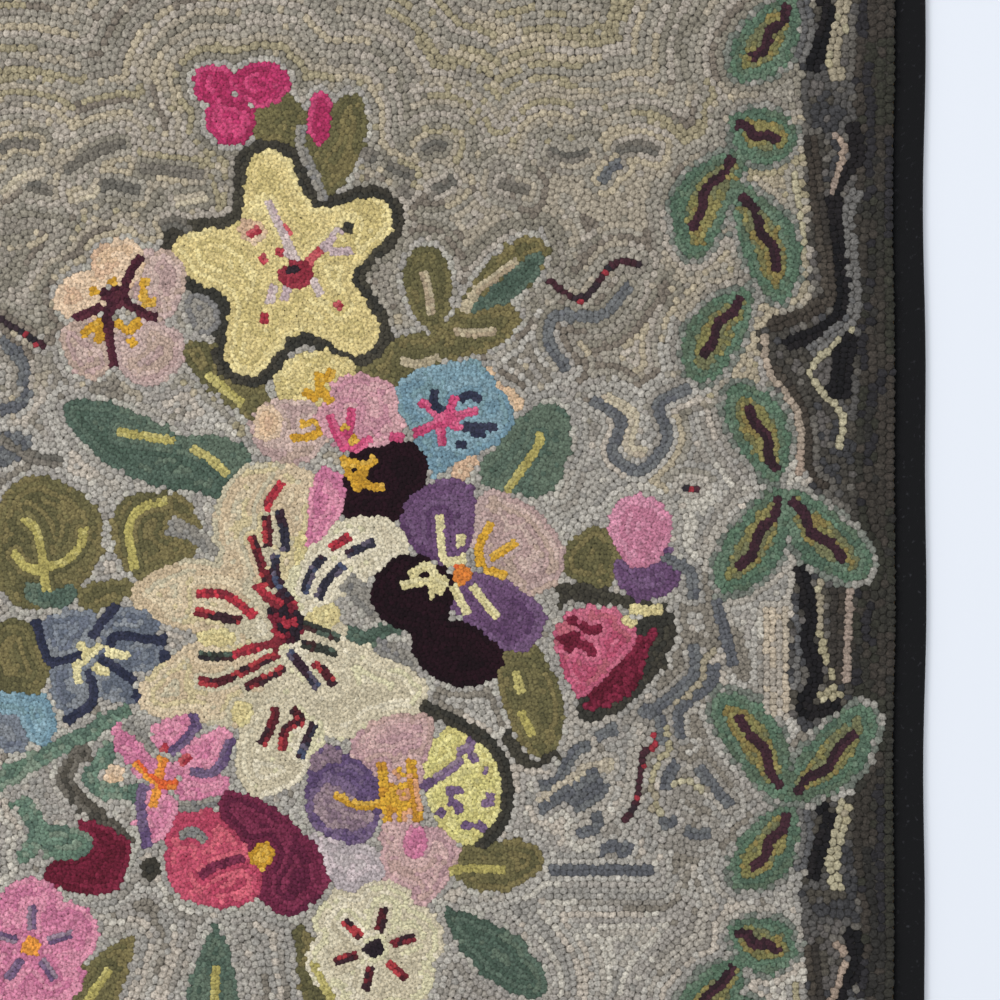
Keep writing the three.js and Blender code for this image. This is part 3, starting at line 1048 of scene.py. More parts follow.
plan_lines(
    navy, [(-101, -13), (-95, -35), (-88, -38), (-73, -34)], [(-51, -3), (-68, -23)],
    [(-56, -28), (-51, -22), (-25, -25), (-23, -22)], [(-62, -35), (-41, -50)],
    [(-69, -43), (-66, -61), (-82, -75)], [(-23, -32), (-21, -38)], [(-41, -62), (-38, -57)],
)
plan_lines(
    ivory, [(-74, -26), (-72, -31)], [(-61, -28), (-75, -40), (-75, -52)],
    [(-59, -32), (-53, -33), (-44, -35)], [(-66, -40), (-61, -44), (-56, -44)],
)

# The orchid-pink flower on the lower left, with violet rows between its petals and orange streaks
# in its middle.
plan(
    orchid, round_patch((-41, -94), 40, 17, 124), petal((-1, -74), (-30, -89), 22, 0.6, 0.3, -1),
    petal((19, -81), (-15, -106), 25, 0.5, 0.45, -4), petal((-15, -119), (19, -112), 15, 0.4, 0.3, 1),
    petal((-40, -128), (-14, -129), 35, 0.4, 0.6, 4), round_patch((-25, -108), 20, 20),
)
plan_lines(
    petal_edge, [(-4, -70), (-4, -80), (-18, -95)], [(19, -87), (9, -106), (-6, -106)],
    [(-33, -114), (-37, -124), (-32, -152)],
)
plan_lines(slate, [(-47, -77), (-35, -86), (-29, -93)], [(-12, -127), (-1, -127), (9, -124)])
plan_lines(orange, [(-40, -100), (-27, -113), (-14, -114)], [(-23, -98), (-29, -128)])
plan_lines(red_mark, [(-20, -90), (-23, -94)], [(-12, -101), (-6, -96)])

# The rose at the foot, of wine and rose-red wool with a little gold, and the crimson bud beside it.
wine = kind("pile_petals_dark", FLOWER_LOOP, [(106, 37, 62), (91, 31, 55), (118, 45, 70)], run=10)
rose_red = kind("pile_petals_warm", FLOWER_LOOP, [(187, 78, 100), (172, 64, 88), (201, 95, 110)], run=8)
plan(wine, petal((15, -119), (70, -189), 47, 0.66, 0.3))
plan(rose_red, petal((-15, -180), (24, -145), 69, 0.66, 0.3, 1))
plan_lines(slate, [(-12, -146), (-4, -143), (4, -149)])
plan_lines(wine, [(0, -171), (9, -165), (27, -159)])
plan(gold, petal((32, -163), (44, -151), 13, 0.5, 0.3, 1))
plan(crimson, petal((-98, -174), (-43, -150), 46, 0.6, 0.8))
plan(grey_leaf, petal((-98, -149), (-66, -151), 21, 0.4, 0.3, 1))
plan(charcoal, round_patch((-30, -167), 15, 14))

# What lies past the left and lower edges of the picture is finished plainly: single leaves, and
# round flowers with even petals, one streak in each and a round eye.
plan(teal_leaf, petal((-128, 150), (-232, 196), 34), petal((-250, -30), (-322, -86), 32))
plan(
    olive_leaf, petal((-190, 60), (-286, 96), 34), petal((-150, -150), (-216, -216), 32),
    petal((-40, -206), (-92, -280), 32), petal((60, -200), (98, -284), 32),
)
plan(teal_leaf, petal((10, -200), (6, -296), 34), petal((150, -190), (214, -244), 30))
plan_lines(
    vein, [(-150, 158), (-196, 178)], [(-212, 68), (-256, 84)], [(-168, -168), (-196, -196)],
    [(-56, -228), (-76, -258)], [(10, -226), (8, -268)], [(70, -224), (86, -258)],
)
plain_flowers = [
    (mauve, peach, gold, (-196, 122), 44, 5), (yellow, heart_red, near_black, (-236, 10), 50, 5),
    (rose, crimson, gold, (-190, -88), 46, 6), (orchid, violet, orange, (-104, -214), 42, 5),
    (cream, brown_red, near_black, (108, -216), 44, 6),
]
PLAIN_PETAL = (38, 0.62, 0.5)
PLAIN_TURNED = 0.3
PLAIN_STREAK = (0.25, 0.6)
PLAIN_EYE = 12
for petals, streaks, eye, middle, reach, count in plain_flowers:
    ways = [2 * math.pi * number / count + PLAIN_TURNED for number in range(count)]
    for way in ways:
        tip = (middle[0] + reach * math.cos(way), middle[1] + reach * math.sin(way))
        plan(petals, petal(middle, tip, *PLAIN_PETAL))
    for way in ways:
        streak = [
            (middle[0] + part * reach * math.cos(way), middle[1] + part * reach * math.sin(way))
            for part in PLAIN_STREAK
        ]
        plan_lines(streaks, streak)
    plan(eye, round_patch(middle, PLAIN_EYE, PLAIN_EYE))

# One pale row of the ground is hooked round each shape, and then the shapes go over it. Streaks are
# hooked before all else, two rows side by side.
PALE_ROW_WIDE = 3.8
STREAK_ROWS = 2
for area, shape in bouquet:
    if not isinstance(shape, tuple) and area != charcoal:
        draw(pale_row, grown(shape, PALE_ROW_WIDE))
line_areas = {}
for area, shape in bouquet:
    if isinstance(shape, tuple):
        if area not in line_areas:
            areas.append(dict(areas[area]))
            line_areas[area] = len(areas) - 1
        draw_line(line_areas[area], shape, STREAK_ROWS)
    else:
        draw(area, shape)

# Wandering lines in the ground, each one or two rows of another wool.
slate_line = kind("pile_ground", (3.4, 3.6), [(99, 100, 102), (107, 108, 108), (91, 92, 96)])
brown_line = kind("pile_ground", (3.4, 3.6), [(110, 104, 94), (120, 113, 103), (102, 98, 90)])
red_line = kind(
    "pile_ground", (4.4, 3.4), [(150, 46, 56), (66, 34, 42), (40, 34, 40), (50, 36, 42)], run=2,
)
sand_line = kind("pile_ground", (3.4, 3.6), [(178, 166, 146), (186, 174, 150), (172, 158, 138)])
GROUND_LINES = [
    (brown_line, [(-84, 265), (-62, 278), (-46, 282)]),
    (brown_line, [(-124, 278), (-114, 283), (-99, 281)]), (brown_line, [(-37, 267), (2, 263)]),
    (brown_line, [(-106, 256), (-91, 253)]), (brown_line, [(-63, 255), (-54, 257), (-37, 253)]),
    (sand_line, [(-122, 250), (-111, 260), (-96, 265)]),
    (sand_line, [(-78, 248), (-67, 252), (-62, 260)]), (sand_line, [(-15, 246), (-5, 248), (5, 250)]),
    (brown_line, [(-25, 231), (-15, 234), (-6, 229)]), (brown_line, [(215, 278), (229, 273), (241, 277)]),
    (brown_line, [(258, 278), (272, 281), (284, 277)]), (brown_line, [(185, 258), (204, 253)]),
    (red_line, [(216, 197), (236, 186), (256, 208), (273, 207)]),
    (slate_line, [(266, 195), (248, 176), (223, 176), (216, 170), (216, 159), (227, 142)]),
    (slate_line, [(248, 258), (253, 266), (260, 270)]), (brown_line, [(99, 278), (110, 273)]),
    (brown_line, [(116, 269), (125, 265), (133, 262)]),
    (brown_line, [(138, 277), (146, 281), (152, 279)]),
    (brown_line, [(143, 253), (151, 256), (157, 261)]), (brown_line, [(124, 255), (131, 250)]),
    (red_line, [(-124, 174), (-95, 156)]), (slate_line, [(-124, 162), (-109, 145), (-110, 132)]),
    (slate_line, [(-120, 157), (-111, 153)]), (slate_line, [(-124, 117), (-112, 121), (-105, 129)]),
    (brown_line, [(-124, 99), (-105, 89), (-85, 85)]), (red_line, [(299, 69), (309, 68)]),
    (slate_line, [(242, 124), (260, 111), (255, 91), (272, 80), (289, 99), (284, 121), (303, 131)]),
    (sand_line, [(250, 126), (268, 114), (265, 95), (276, 91)]),
    (slate_line, [(287, 27), (303, 17), (305, 0)]), (slate_line, [(319, 0), (326, -25), (330, -42)]),
    (cream_line, [(320, -30), (311, -38), (311, -48), (304, -57), (292, -65)]),
    (
        cream_line,
        [(288, -76), (290, -93), (284, -98), (278, -116), (282, -122), (279, -130), (287, -132)],
    ),
    (cream_line, [(292, -114), (302, -112), (312, -119)]),
    (slate_line, [(305, -27), (305, -46), (279, -69), (272, -66)]),
    (slate_line, [(318, -40), (316, -51), (297, -69), (297, -86)]),
    (slate_line, [(284, -72), (286, -80), (286, -90)]),
    (slate_line, [(295, -101), (290, -108), (288, -117)]), (slate_line, [(308, -103), (329, -128)]),
    (slate_line, [(285, -140), (295, -135)]), (slate_line, [(300, -142), (308, -145), (316, -144)]),
    (slate_line, [(210, -130), (246, -106)]), (slate_line, [(227, -125), (248, -110)]),
    (slate_line, [(231, -129), (247, -120), (250, -112)]),
    (sand_line, [(210, -125), (241, -104), (252, -104), (253, -98)]),
    (slate_line, [(245, -85), (251, -82), (258, -80)]),
    (slate_line, [(210, -115), (221, -112), (231, -95), (241, -89)]),
    (slate_line, [(233, -145), (245, -140), (245, -131)]),
    (slate_line, [(248, -155), (256, -152), (262, -156), (266, -150)]),
    (slate_line, [(216, -167), (281, -167)]),
    (red_line, [(281, -82), (281, -91), (274, -96), (271, -122), (262, -138)]),
]
THIN_LINES = (red_line, cream_line)
for area, points in GROUND_LINES:
    draw_line(area, points, 1 if area in THIN_LINES else 2)
draw(slate_line, petal((-103, 98), (-138, 94), 23, 0.66, 0.3, -2))


# The wool is hooked in rows that follow the drawn outlines, the outermost row first and then
# inwards, as a rug is worked. So each spot first needs its distance from the nearest outline.
FAR_OFF = 1e6


def spread(seeds, x, y, reach):
    """For each spot of a grid, the number of the nearest seed, worked out by jumps that halve."""
    step = x[1] - x[0]
    nearest = np.full((len(y), len(x)), -1, np.int32)
    column = ((seeds[:, 0] - x[0]) / step + 0.5).astype(int).clip(0, len(x) - 1)
    line = ((seeds[:, 1] - y[0]) / step + 0.5).astype(int).clip(0, len(y) - 1)
    nearest[line, column] = np.arange(len(seeds))
    seed_x = np.append(seeds[:, 0], FAR_OFF).astype(np.float32)
    seed_y = np.append(seeds[:, 1], FAR_OFF).astype(np.float32)
    grid_x = x.astype(np.float32)[None, :]
    grid_y = y.astype(np.float32)[:, None]
    away = (seed_x[nearest] - grid_x) ** 2 + (seed_y[nearest] - grid_y) ** 2
    jumps = [2**power for power in range(int(math.log2(reach / step)), -1, -1)] + [1]
    for jump in jumps:
        for down in (-jump, 0, jump):
            for over in (-jump, 0, jump):
                if down == over == 0:
                    continue
                to = np.s_[max(0, -down) : len(y) - max(0, down), max(0, -over) : len(x) - max(0, over)]
                start = np.s_[max(0, down) : len(y) + min(0, down), max(0, over) : len(x) + min(0, over)]
                found = nearest[start]
                gap = (seed_x[found] - grid_x[:, to[1]]) ** 2 + (seed_y[found] - grid_y[to[0]]) ** 2
                closer = gap < away[to]
                nearest[to][closer] = found[closer]
                away[to][closer] = gap[closer]
    return nearest, np.sqrt(away)


EDGE_STEP = 0.6
seeds = []
for area, shape in outlines:
    line = evenly(shape, EDGE_STEP)
    normal = outward(line)
    one_side = chart_at(line + normal) == area
    other_side = chart_at(line - normal) == area
    seeds.append(line[one_side != other_side])
seeds = np.vstack(seeds)
seeds = seeds[(np.abs(seeds) < PILE_HALF).all(1)]
FURTHEST_OUTLINE = 64
nearest, away = spread(seeds, spot_x, spot_y, FURTHEST_OUTLINE)
edge_away = np.minimum(
    PILE_HALF[0] - np.abs(spot_x)[None, :], PILE_HALF[1] - np.abs(spot_y)[:, None]
)
away = np.minimum(away, edge_away)

# Rows lie half a loop from the outline and then a loop apart. They are read off the chart as
# lines of equal distance, from spot to spot.
row_width = np.array([area["loop"][0] for area in areas])
singles = sorted({area for area, line in single_rows})
depth = away / row_width[chart]
depth[np.isin(chart, singles)] = 0.0
row_at = np.floor(depth + 0.5).astype(np.int32)


NO_SLOPE = 1e-12


def crossings(lower, upper, place_lower, place_upper):
    """Which pairs of neighbouring spots a row runs between, where, and which row it is."""
    between = np.abs(upper - lower) == 1
    row = np.maximum(lower, upper)
    part = np.where(between, (row - 0.5 - place_lower) / (place_upper - place_lower + NO_SLOPE), 0.0)
    return between, row, part


over, over_row, over_part = crossings(row_at[:, :-1], row_at[:, 1:], depth[:, :-1], depth[:, 1:])
up, up_row, up_part = crossings(row_at[:-1], row_at[1:], depth[:-1], depth[1:])
over_number = np.where(over, np.cumsum(over.ravel()).reshape(over.shape) - 1, -1)
up_number = np.where(up, np.cumsum(up.ravel()).reshape(up.shape) - 1 + over.sum(), -1)
line, column = np.nonzero(over)
places = [np.stack([spot_x[column] + SPOT * over_part[over], spot_y[line]], 1)]
line, column = np.nonzero(up)
places.append(np.stack([spot_x[column], spot_y[line] + SPOT * up_part[up]], 1))
places = np.vstack(places)
levels = np.concatenate([over_row[over], up_row[up]])
sides = np.stack([over_number[:-1], over_number[1:], up_number[:, :-1], up_number[:, 1:]], 2)
sides = sides.reshape(-1, 4)
sides = np.sort(sides[(sides >= 0).sum(1) >= 2], axis=1)
pairs = [sides[(sides[:, 1] < 0)][:, 2:]]
for four in sides[sides[:, 0] >= 0]:
    four = four[np.argsort(levels[four], kind="stable")]
    pairs.append(four.reshape(2, 2))
pairs = np.vstack(pairs)
pairs = pairs[levels[pairs[:, 0]] == levels[pairs[:, 1]]]
links = [[] for _ in range(len(places))]
for one, other in pairs.tolist():
    links[one].append(other)
    links[other].append(one)

LEAST_RING = 6
found_rows = []
used = bytearray(len(places))
ends_first = sorted(range(len(places)), key=lambda number: len(links[number]) != 1)
for first in ends_first:
    if used[first]:
        continue
    chain = [first]
    used[first] = 1
    step_on = first
    while True:
        following = [number for number in links[step_on] if not used[number]]
        if not following:
            break
        step_on = following[0]
        used[step_on] = 1
        chain.append(step_on)
    closes = len(chain) > LEAST_RING and first in links[step_on]
    found_rows.append((chain, closes))
found_rows.sort(key=lambda found: levels[found[0][0]])

# Each row is divided into loops. A loop that would sit on another is left out, as a maker skips
# a hole where rows run together.
HOOK_SEED = 7
SHAKE = 0.17
CROWDED = 0.64
REACH = 5.5
random = np.random.default_rng(HOOK_SEED)
loop_place = []
loop_area = []
loop_row = []
taken = {}


def is_free(x, y, size, close):
    """Whether a loop fits here, where close is the share of a loop that it may stand off."""
    column, line = int(x // REACH), int(y // REACH)
    for near_column in (column - 1, column, column + 1):
        for near_line in (line - 1, line, line + 1):
            for other_x, other_y, other_size in taken.get((near_column, near_line), ()):
                least = close * (size + other_size) / 2
                if (x - other_x) ** 2 + (y - other_y) ** 2 < least * least:
                    return False
    return True


def hook_row(area, line, closes, row, close=CROWDED):
    """Hooks loops along a line, evenly but for a maker's shake of the hand."""
    across, along = areas[area]["loop"]
    size = min(across, along)
    if closes:
        line = np.vstack([line, line[:1]])
    length = np.append(0, np.hypot(*np.diff(line, axis=0).T).cumsum())
    count = max(1, round(length[-1] / along))
    at = (np.arange(count) + (0.0 if closes else 0.5)) * length[-1] / count
    at = at + random.normal(0, SHAKE * along, count)
    x = np.interp(at, length, line[:, 0]) + random.normal(0, SHAKE * across / 2, count)
    y = np.interp(at, length, line[:, 1]) + random.normal(0, SHAKE * across / 2, count)
    for place_x, place_y in zip(x.tolist(), y.tolist()):
        if is_free(place_x, place_y, size, close):
            square = (int(place_x // REACH), int(place_y // REACH))
            taken.setdefault(square, []).append((place_x, place_y, size))
            loop_place.append((place_x, place_y))
            loop_area.append(area)
            loop_row.append(row)


row_number = 0
for area, line in single_rows:
    hook_row(area, line, False, row_number)
    row_number += 1
for chain, closes in found_rows:
    line = places[chain]
    if len(line) > 1:
        hook_row(int(chart_at(line[:1])[0]), line, closes, row_number)
        row_number += 1

# A single loop fills each gap that is left where rows part.
GAP = 0.8
GAP_REACH = 8
DOT = 0.01
bare = spread(np.array(loop_place), spot_x, spot_y, GAP_REACH)[1]
small = np.array([min(area["loop"]) for area in areas])[chart]
gap_line, gap_column = np.nonzero(bare > GAP * small)
widest_first = np.argsort(-bare[gap_line, gap_column], kind="stable")
for number in widest_first:
    x, y = spot_x[gap_column[number]], spot_y[gap_line[number]]
    area = int(chart[gap_line[number], gap_column[number]])
    hook_row(area, np.array([[x, y], [x + DOT, y]]), False, row_number, GAP)
    row_number += 1

# Wool is springy: each loop is pushed to the middle of its room and spreads until it meets its
# neighbours, so its outline is the oval that fills that room.
FINE_SPOT = 0.65
SETTLING = (0.5, 0.35)
ROOM_REACH = 5
LEAST_SPREAD = 0.05
fine_x = np.arange(-PILE_HALF[0] + FINE_SPOT / 2, PILE_HALF[0], FINE_SPOT)
fine_y = np.arange(-PILE_HALF[1] + FINE_SPOT / 2, PILE_HALF[1], FINE_SPOT)
loops = np.array(loop_place)
loop_area = np.array(loop_area)
loop_row = np.array(loop_row)
every_x = np.broadcast_to(fine_x[None, :], (len(fine_y), len(fine_x))).ravel()
every_y = np.broadcast_to(fine_y[:, None], (len(fine_y), len(fine_x))).ravel()


def room_of_each(places):
    """The middle of each loop's room, and its spread along x, along y and between them."""
    owner = spread(places, fine_x, fine_y, ROOM_REACH)[0].ravel()
    owner[owner < 0] = 0
    spots = np.maximum(np.bincount(owner, minlength=len(places)), 1)

    def mean(values):
        return np.bincount(owner, values, len(places)) / spots

    mean_x, mean_y = mean(every_x), mean(every_y)
    middle = np.where((spots > 1)[:, None], np.stack([mean_x, mean_y], 1), places)
    wide = mean(every_x**2) - mean_x**2
    tall = mean(every_y**2) - mean_y**2
    skew = mean(every_x * every_y) - mean_x * mean_y
    return middle, wide + FINE_SPOT**2 / 12, tall + FINE_SPOT**2 / 12, skew


for share in SETTLING:
    middle, wide, tall, skew = room_of_each(loops)
    loops += share * (middle - loops)
half_sum = (wide + tall) / 2
half_gap = np.sqrt(((wide - tall) / 2) ** 2 + skew**2)
long_half = 2 * np.sqrt(half_sum + half_gap)
short_half = 2 * np.sqrt(np.maximum(half_sum - half_gap, LEAST_SPREAD))
loop_turn = np.arctan2(2 * skew, wide - tall) / 2
nominal = np.array([math.sqrt(area["loop"][0] * area["loop"][1]) for area in areas])[loop_area]
long_half = np.minimum(long_half, nominal)
short_half = np.minimum(short_half, long_half)

# Each strip of wool makes a short run of loops in one colour before the next strip is taken.
# No two loops catch quite the same dye, so each is a little lighter or darker.
COLOUR_SEED = 11
LONGEST_CHANCE = 0.98
random = np.random.default_rng(COLOUR_SEED)
loop_colour = np.zeros((len(loops), 3))
chances = random.random((len(loops), 2))
shades = random.normal(0, 1, len(loops))
strip_left = 0
last = (-1, -1)
strip_wool = 0
for number in range(len(loops)):
    area = areas[loop_area[number]]
    now = (loop_area[number], loop_row[number])
    if now != last or strip_left <= 0:
        wools = area["wools"]
        if callable(wools):
            strip_wool = wools(loops[number], chances[number, 0])
        else:
            strip_wool = wools[int(chances[number, 0] * len(wools))]
        strip_left = 1 + int(-math.log(1 - chances[number, 1] * LONGEST_CHANCE) * area["run"])
        last = now
    strip_left -= 1
    loop_colour[number] = np.array(strip_wool) * math.exp(area["fleck"] * shades[number])

# A loop is modelled from its shoulder up, where it shows: a foot ring that is pressed against its
# neighbours and a crown ring, closed by a domed cap. The last loops by the tape reach lower.
LOOP_RINGS = [(1.32, 0.0), (0.86, 1.0)]
RIM_RINGS = [(0.95, -1.35), (1.12, 0.0), (0.86, 1.0)]
LOOP_SIDES = 5
RIM_SIDES = 6


def loop_form(sides, rings):
    """One loop as a bmesh: rings of so many sides, each a radius and a height, and a cap."""
    form = bmesh.new()
    ring = bmesh.ops.create_circle(form, segments=sides, radius=rings[0][0], cap_ends=False)
    bmesh.ops.translate(form, vec=(0.0, 0.0, rings[0][1]), verts=ring["verts"])
    edges = list({edge for point in ring["verts"] for edge in point.link_edges})
    for (radius, height), (next_radius, next_height) in zip(rings, rings[1:]):
        raised = bmesh.ops.extrude_edge_only(form, edges=edges)["geom"]
        points = [item for item in raised if isinstance(item, bmesh.types.BMVert)]
        edges = [item for item in raised if isinstance(item, bmesh.types.BMEdge)]
        grow = next_radius / radius
        bmesh.ops.scale(form, vec=(grow, grow, 1.0), verts=points)
        bmesh.ops.translate(form, vec=(0.0, 0.0, next_height - height), verts=points)
    bmesh.ops.contextual_create(form, geom=edges)
    bmesh.ops.recalc_face_normals(form, faces=form.faces[:])
    cap = max(form.faces, key=lambda face: face.calc_center_median().z)
    if cap.normal.z < 0:
        bmesh.ops.reverse_faces(form, faces=form.faces[:])
    form.verts.index_update()
    points = np.array([point.co[:] for point in form.verts])
    faces = [[point.index for point in face.verts] for face in form.faces]
    form.free()
    return points, faces


pile_loop = loop_form(LOOP_SIDES, LOOP_RINGS)
rim_loop = loop_form(RIM_SIDES, RIM_RINGS)

# Loops stand and lean a little unevenly, and small ones are lower domes than full ones.
HEIGHT_SEED = 5
DOME_HIGH = 0.36
TOP_SHAKE = 0.26
TOP_SHAKE_MOST = 0.8
FULL_SIZE = 4.2
FULL_POWER = 1.5
LEAN = 0.16
RIM_WIDE = 4.0
MAP_ROUND = 2.1 * LOOP_RINGS[0][0]
MAP_FILLED = 0.9
random = np.random.default_rng(HEIGHT_SEED)
fullness = (nominal / FULL_SIZE).clip(0, 1) ** FULL_POWER
shakes = random.normal(0, TOP_SHAKE, len(loops)).clip(-TOP_SHAKE_MOST, TOP_SHAKE_MOST)
loop_top = PILE_TOP / MM + fullness * shakes
loop_lean = random.normal(0, LEAN, (len(loops), 2))
loop_spin = random.random(len(loops)) * 2 * np.pi
from_edge = np.minimum(PILE_HALF[0] - np.abs(loops[:, 0]), PILE_HALF[1] - np.abs(loops[:, 1]))
at_rim = from_edge < RIM_WIDE


def hooked_piece(name, members):
    """Joins copies of the loop, one for each member, into one mesh with its colours and its map."""
    mesh = bpy.data.meshes.new(name)
    cells = math.ceil(math.sqrt(len(members)))
    parts = []
    point_count = 0
    for form, chosen in ((pile_loop, members[~at_rim[members]]), (rim_loop, members[at_rim[members]])):
        points, faces = form
        if len(chosen) == 0:
            continue
        spin = loop_spin[chosen][:, None]
        round_x = points[:, 0] * np.cos(spin) - points[:, 1] * np.sin(spin)
        round_y = points[:, 0] * np.sin(spin) + points[:, 1] * np.cos(spin)
        along = long_half[chosen][:, None] * round_x
        across = short_half[chosen][:, None] * round_y
        turn = loop_turn[chosen][:, None]
        height = DOME_HIGH * (fullness * (long_half + short_half))[chosen][:, None]
        lean = loop_lean[chosen] * height
        x = loops[chosen, 0][:, None] + along * np.cos(turn) - across * np.sin(turn)
        y = loops[chosen, 1][:, None] + along * np.sin(turn) + across * np.cos(turn)
        x = x + lean[:, :1] * points[:, 2]
        y = y + lean[:, 1:] * points[:, 2]
        x, y = lie_uneven(x, y)
        z = loop_top[chosen][:, None] + height * (points[:, 2] - 1)
        first_point = point_count + len(points) * np.arange(len(chosen))
        number = np.searchsorted(members, chosen)
        cell = np.stack([number % cells, number // cells], 1)[:, None, :] + 0.5
        unit = np.stack([round_x, round_y], 2) / MAP_ROUND
        parts.append(
            {
                "place": np.stack([x, y, z], 2).reshape(-1, 3) * MM,
                "map": ((cell + MAP_FILLED * unit) / cells).reshape(-1, 2),
                "colour": np.repeat(loop_colour[chosen], len(points), axis=0),
                "rise": (1 - fullness[chosen][:, None] * (1 - points[:, 2].clip(0, 1))).ravel(),
                "faces": [np.array(face)[None, :] + first_point[:, None] for face in faces],
            }
        )
        point_count += len(points) * len(chosen)
    every_face = [faces for part in parts for faces in part["faces"]]
    corners = np.concatenate([faces.ravel() for faces in every_face])
    sizes = np.concatenate([np.full(len(faces), faces.shape[1]) for faces in every_face])
    mesh.vertices.add(point_count)
    mesh.vertices.foreach_set("co", np.vstack([part["place"] for part in parts]).ravel())
    mesh.loops.add(len(corners))
    mesh.loops.foreach_set("vertex_index", corners.astype(np.int32))
    mesh.polygons.add(len(sizes))
    mesh.polygons.foreach_set("loop_start", (np.cumsum(sizes) - sizes).astype(np.int32))
    mesh.polygons.foreach_set("use_smooth", np.ones(len(sizes), bool))
    mesh.update(calc_edges=True)
    # The colour's alpha holds each point's rise on its loop, which the wool shader turns into painted shade
    # between the loops.
    colour = mesh.color_attributes.new("wool", "FLOAT_COLOR", "POINT")
    dyes = np.vstack([part["colour"] for part in parts])
    shown = np.column_stack([dyes, np.concatenate([part["rise"] for part in parts])])
    colour.data.foreach_set("color", shown.astype(np.float32).ravel())
    wool_map = mesh.uv_layers.new(name="OFBake")
    placed = np.vstack([part["map"] for part in parts])[corners]
    wool_map.uv.foreach_set("vector", placed.astype(np.float32).ravel())
    piece = bpy.data.objects.new(name, mesh)
    bpy.context.scene.collection.objects.link(piece)
    return piece


# Wool is matt and a little fuzzy. Its colour goes mottled where the dye took unevenly, and it is
# painted darker down between the loops, as painted shade.
TWEED = 0.4
wool_group, given, put_out = new_group(
    "wool_surface",
    {"Dye": "Color", "Rise": "Float", "Tweed": "Float"},
    {"Colour": "Color", "Height": "Float"},
)
wool_place = add_node(wool_group, "TexCoord", {}).outputs["Object"]
flecks = add_node(wool_group, "TexNoise", {"Vector": wool_place, "Scale": 760.0, "Detail": 2.0})
fleck_reach = {"From Min": 0.32, "From Max": 0.68, "To Min": -1.0, "To Max": 1.0}
fleck_range = add_node(wool_group, "MapRange", {"Value": flecks.outputs["Fac"], **fleck_reach})
mottle = add_node(
    wool_group,
    "Math",
    {0: fleck_range.outputs["Result"], 1: given.outputs["Tweed"], 2: 1.0},
    operation="MULTIPLY_ADD",
)
# Painted shade: the colour darkens towards each loop's foot, as its rise falls, where shade lies between
# the loops.
shade_reach = {"From Min": 0.35, "From Max": 0.95, "To Min": 0.7, "To Max": 1.0}
shade = add_node(
    wool_group,
    "MapRange",
    {"Value": given.outputs["Rise"], **shade_reach},
    interpolation_type="SMOOTHSTEP",
)
both = add_node(
    wool_group, "Math", {0: mottle.outputs["Value"], 1: shade.outputs["Result"]}, operation="MULTIPLY"
)
tinted = add_node(
    wool_group,
    "VectorMath",
    {"Vector": given.outputs["Dye"], "Scale": both.outputs["Value"]},
    operation="SCALE",
)
fibres = add_node(wool_group, "TexNoise", {"Vector": wool_place, "Scale": 2600.0, "Detail": 3.0})
join(wool_group, put_out, {"Colour": tinted.outputs["Vector"], "Height": fibres.outputs["Fac"]})


def wool_material(name, sheen):
    """Wool that takes each loop's dye and rise from the mesh."""
    material, tree, shader = new_material(name, roughness=0.95)
    dye = add_node(tree, "Attribute", {}, attribute_name="wool")
    takes = {"Dye": dye.outputs["Color"], "Rise": dye.outputs["Alpha"], "Tweed": TWEED}
    surface = add_node(tree, "Group", takes, node_tree=wool_group)
    join(tree, shader, {"Base Color": surface.outputs["Colour"]})
    add_bump(tree, shader, surface.outputs["Height"], strength=0.25, deep=0.0004)
    shader.inputs["Specular IOR Level"].default_value = 0.2
    shader.inputs["Sheen Weight"].default_value = sheen
    shader.inputs["Sheen Roughness"].default_value = 0.6
    return material


# The piles of dark wool have less sheen than the others. A pile of more loops than PILE_MOST is
# made as several pieces, one beside the other.
PILE_MOST = 15000
hooked_wool = wool_material("hooked_wool", sheen=0.12)
matt_wool = wool_material("matt_wool", sheen=0.04)
MATT_PILES = ("pile_dark_edge", "pile_scroll", "pile_petals_dark")
piece_names = np.array([area["piece"] for area in areas])[loop_area]
for piece_name in sorted(set(piece_names)):
    members = np.nonzero(piece_names == piece_name)[0]
    members = members[np.argsort(-loops[members, 1], kind="stable")]
    parts = math.ceil(len(members) / PILE_MOST)
    for part, chosen in enumerate(np.array_split(members, parts)):
        name = piece_name if parts == 1 else f"{piece_name}_{part + 1}"
        pile = hooked_piece(name, np.sort(chosen))
        pile.data.materials.append(matt_wool if piece_name in MATT_PILES else hooked_wool)
        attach(pile, "root")
        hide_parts("hooked_field")

# Below their shoulders the loops are pressed into one mass of wool. It is modelled whole, from the
# foundation up to where the loops part, and its edge slopes in under the last row.
BODY_SECTION = ((0.5, 4.2), (1.5, 5.9), (3.2, 7.0))
BODY_STEPS = (41, 55)
ABOVE_CLOTH = 0.05
# Painted shade: the body shows only deep in the gaps between the loops, so it is one dark grey rather than
# the wools above it.
BODY_SHADE_COLOUR = (70, 66, 60)
body_rim = [inset for inset, height in BODY_SECTION]
body_high = [height for inset, height in BODY_SECTION]


def on_body(x, y):
    inset = min(PILE_HALF[0] - abs(x), PILE_HALF[1] - abs(y))
    return x, y, np.interp(inset, body_rim, body_high)


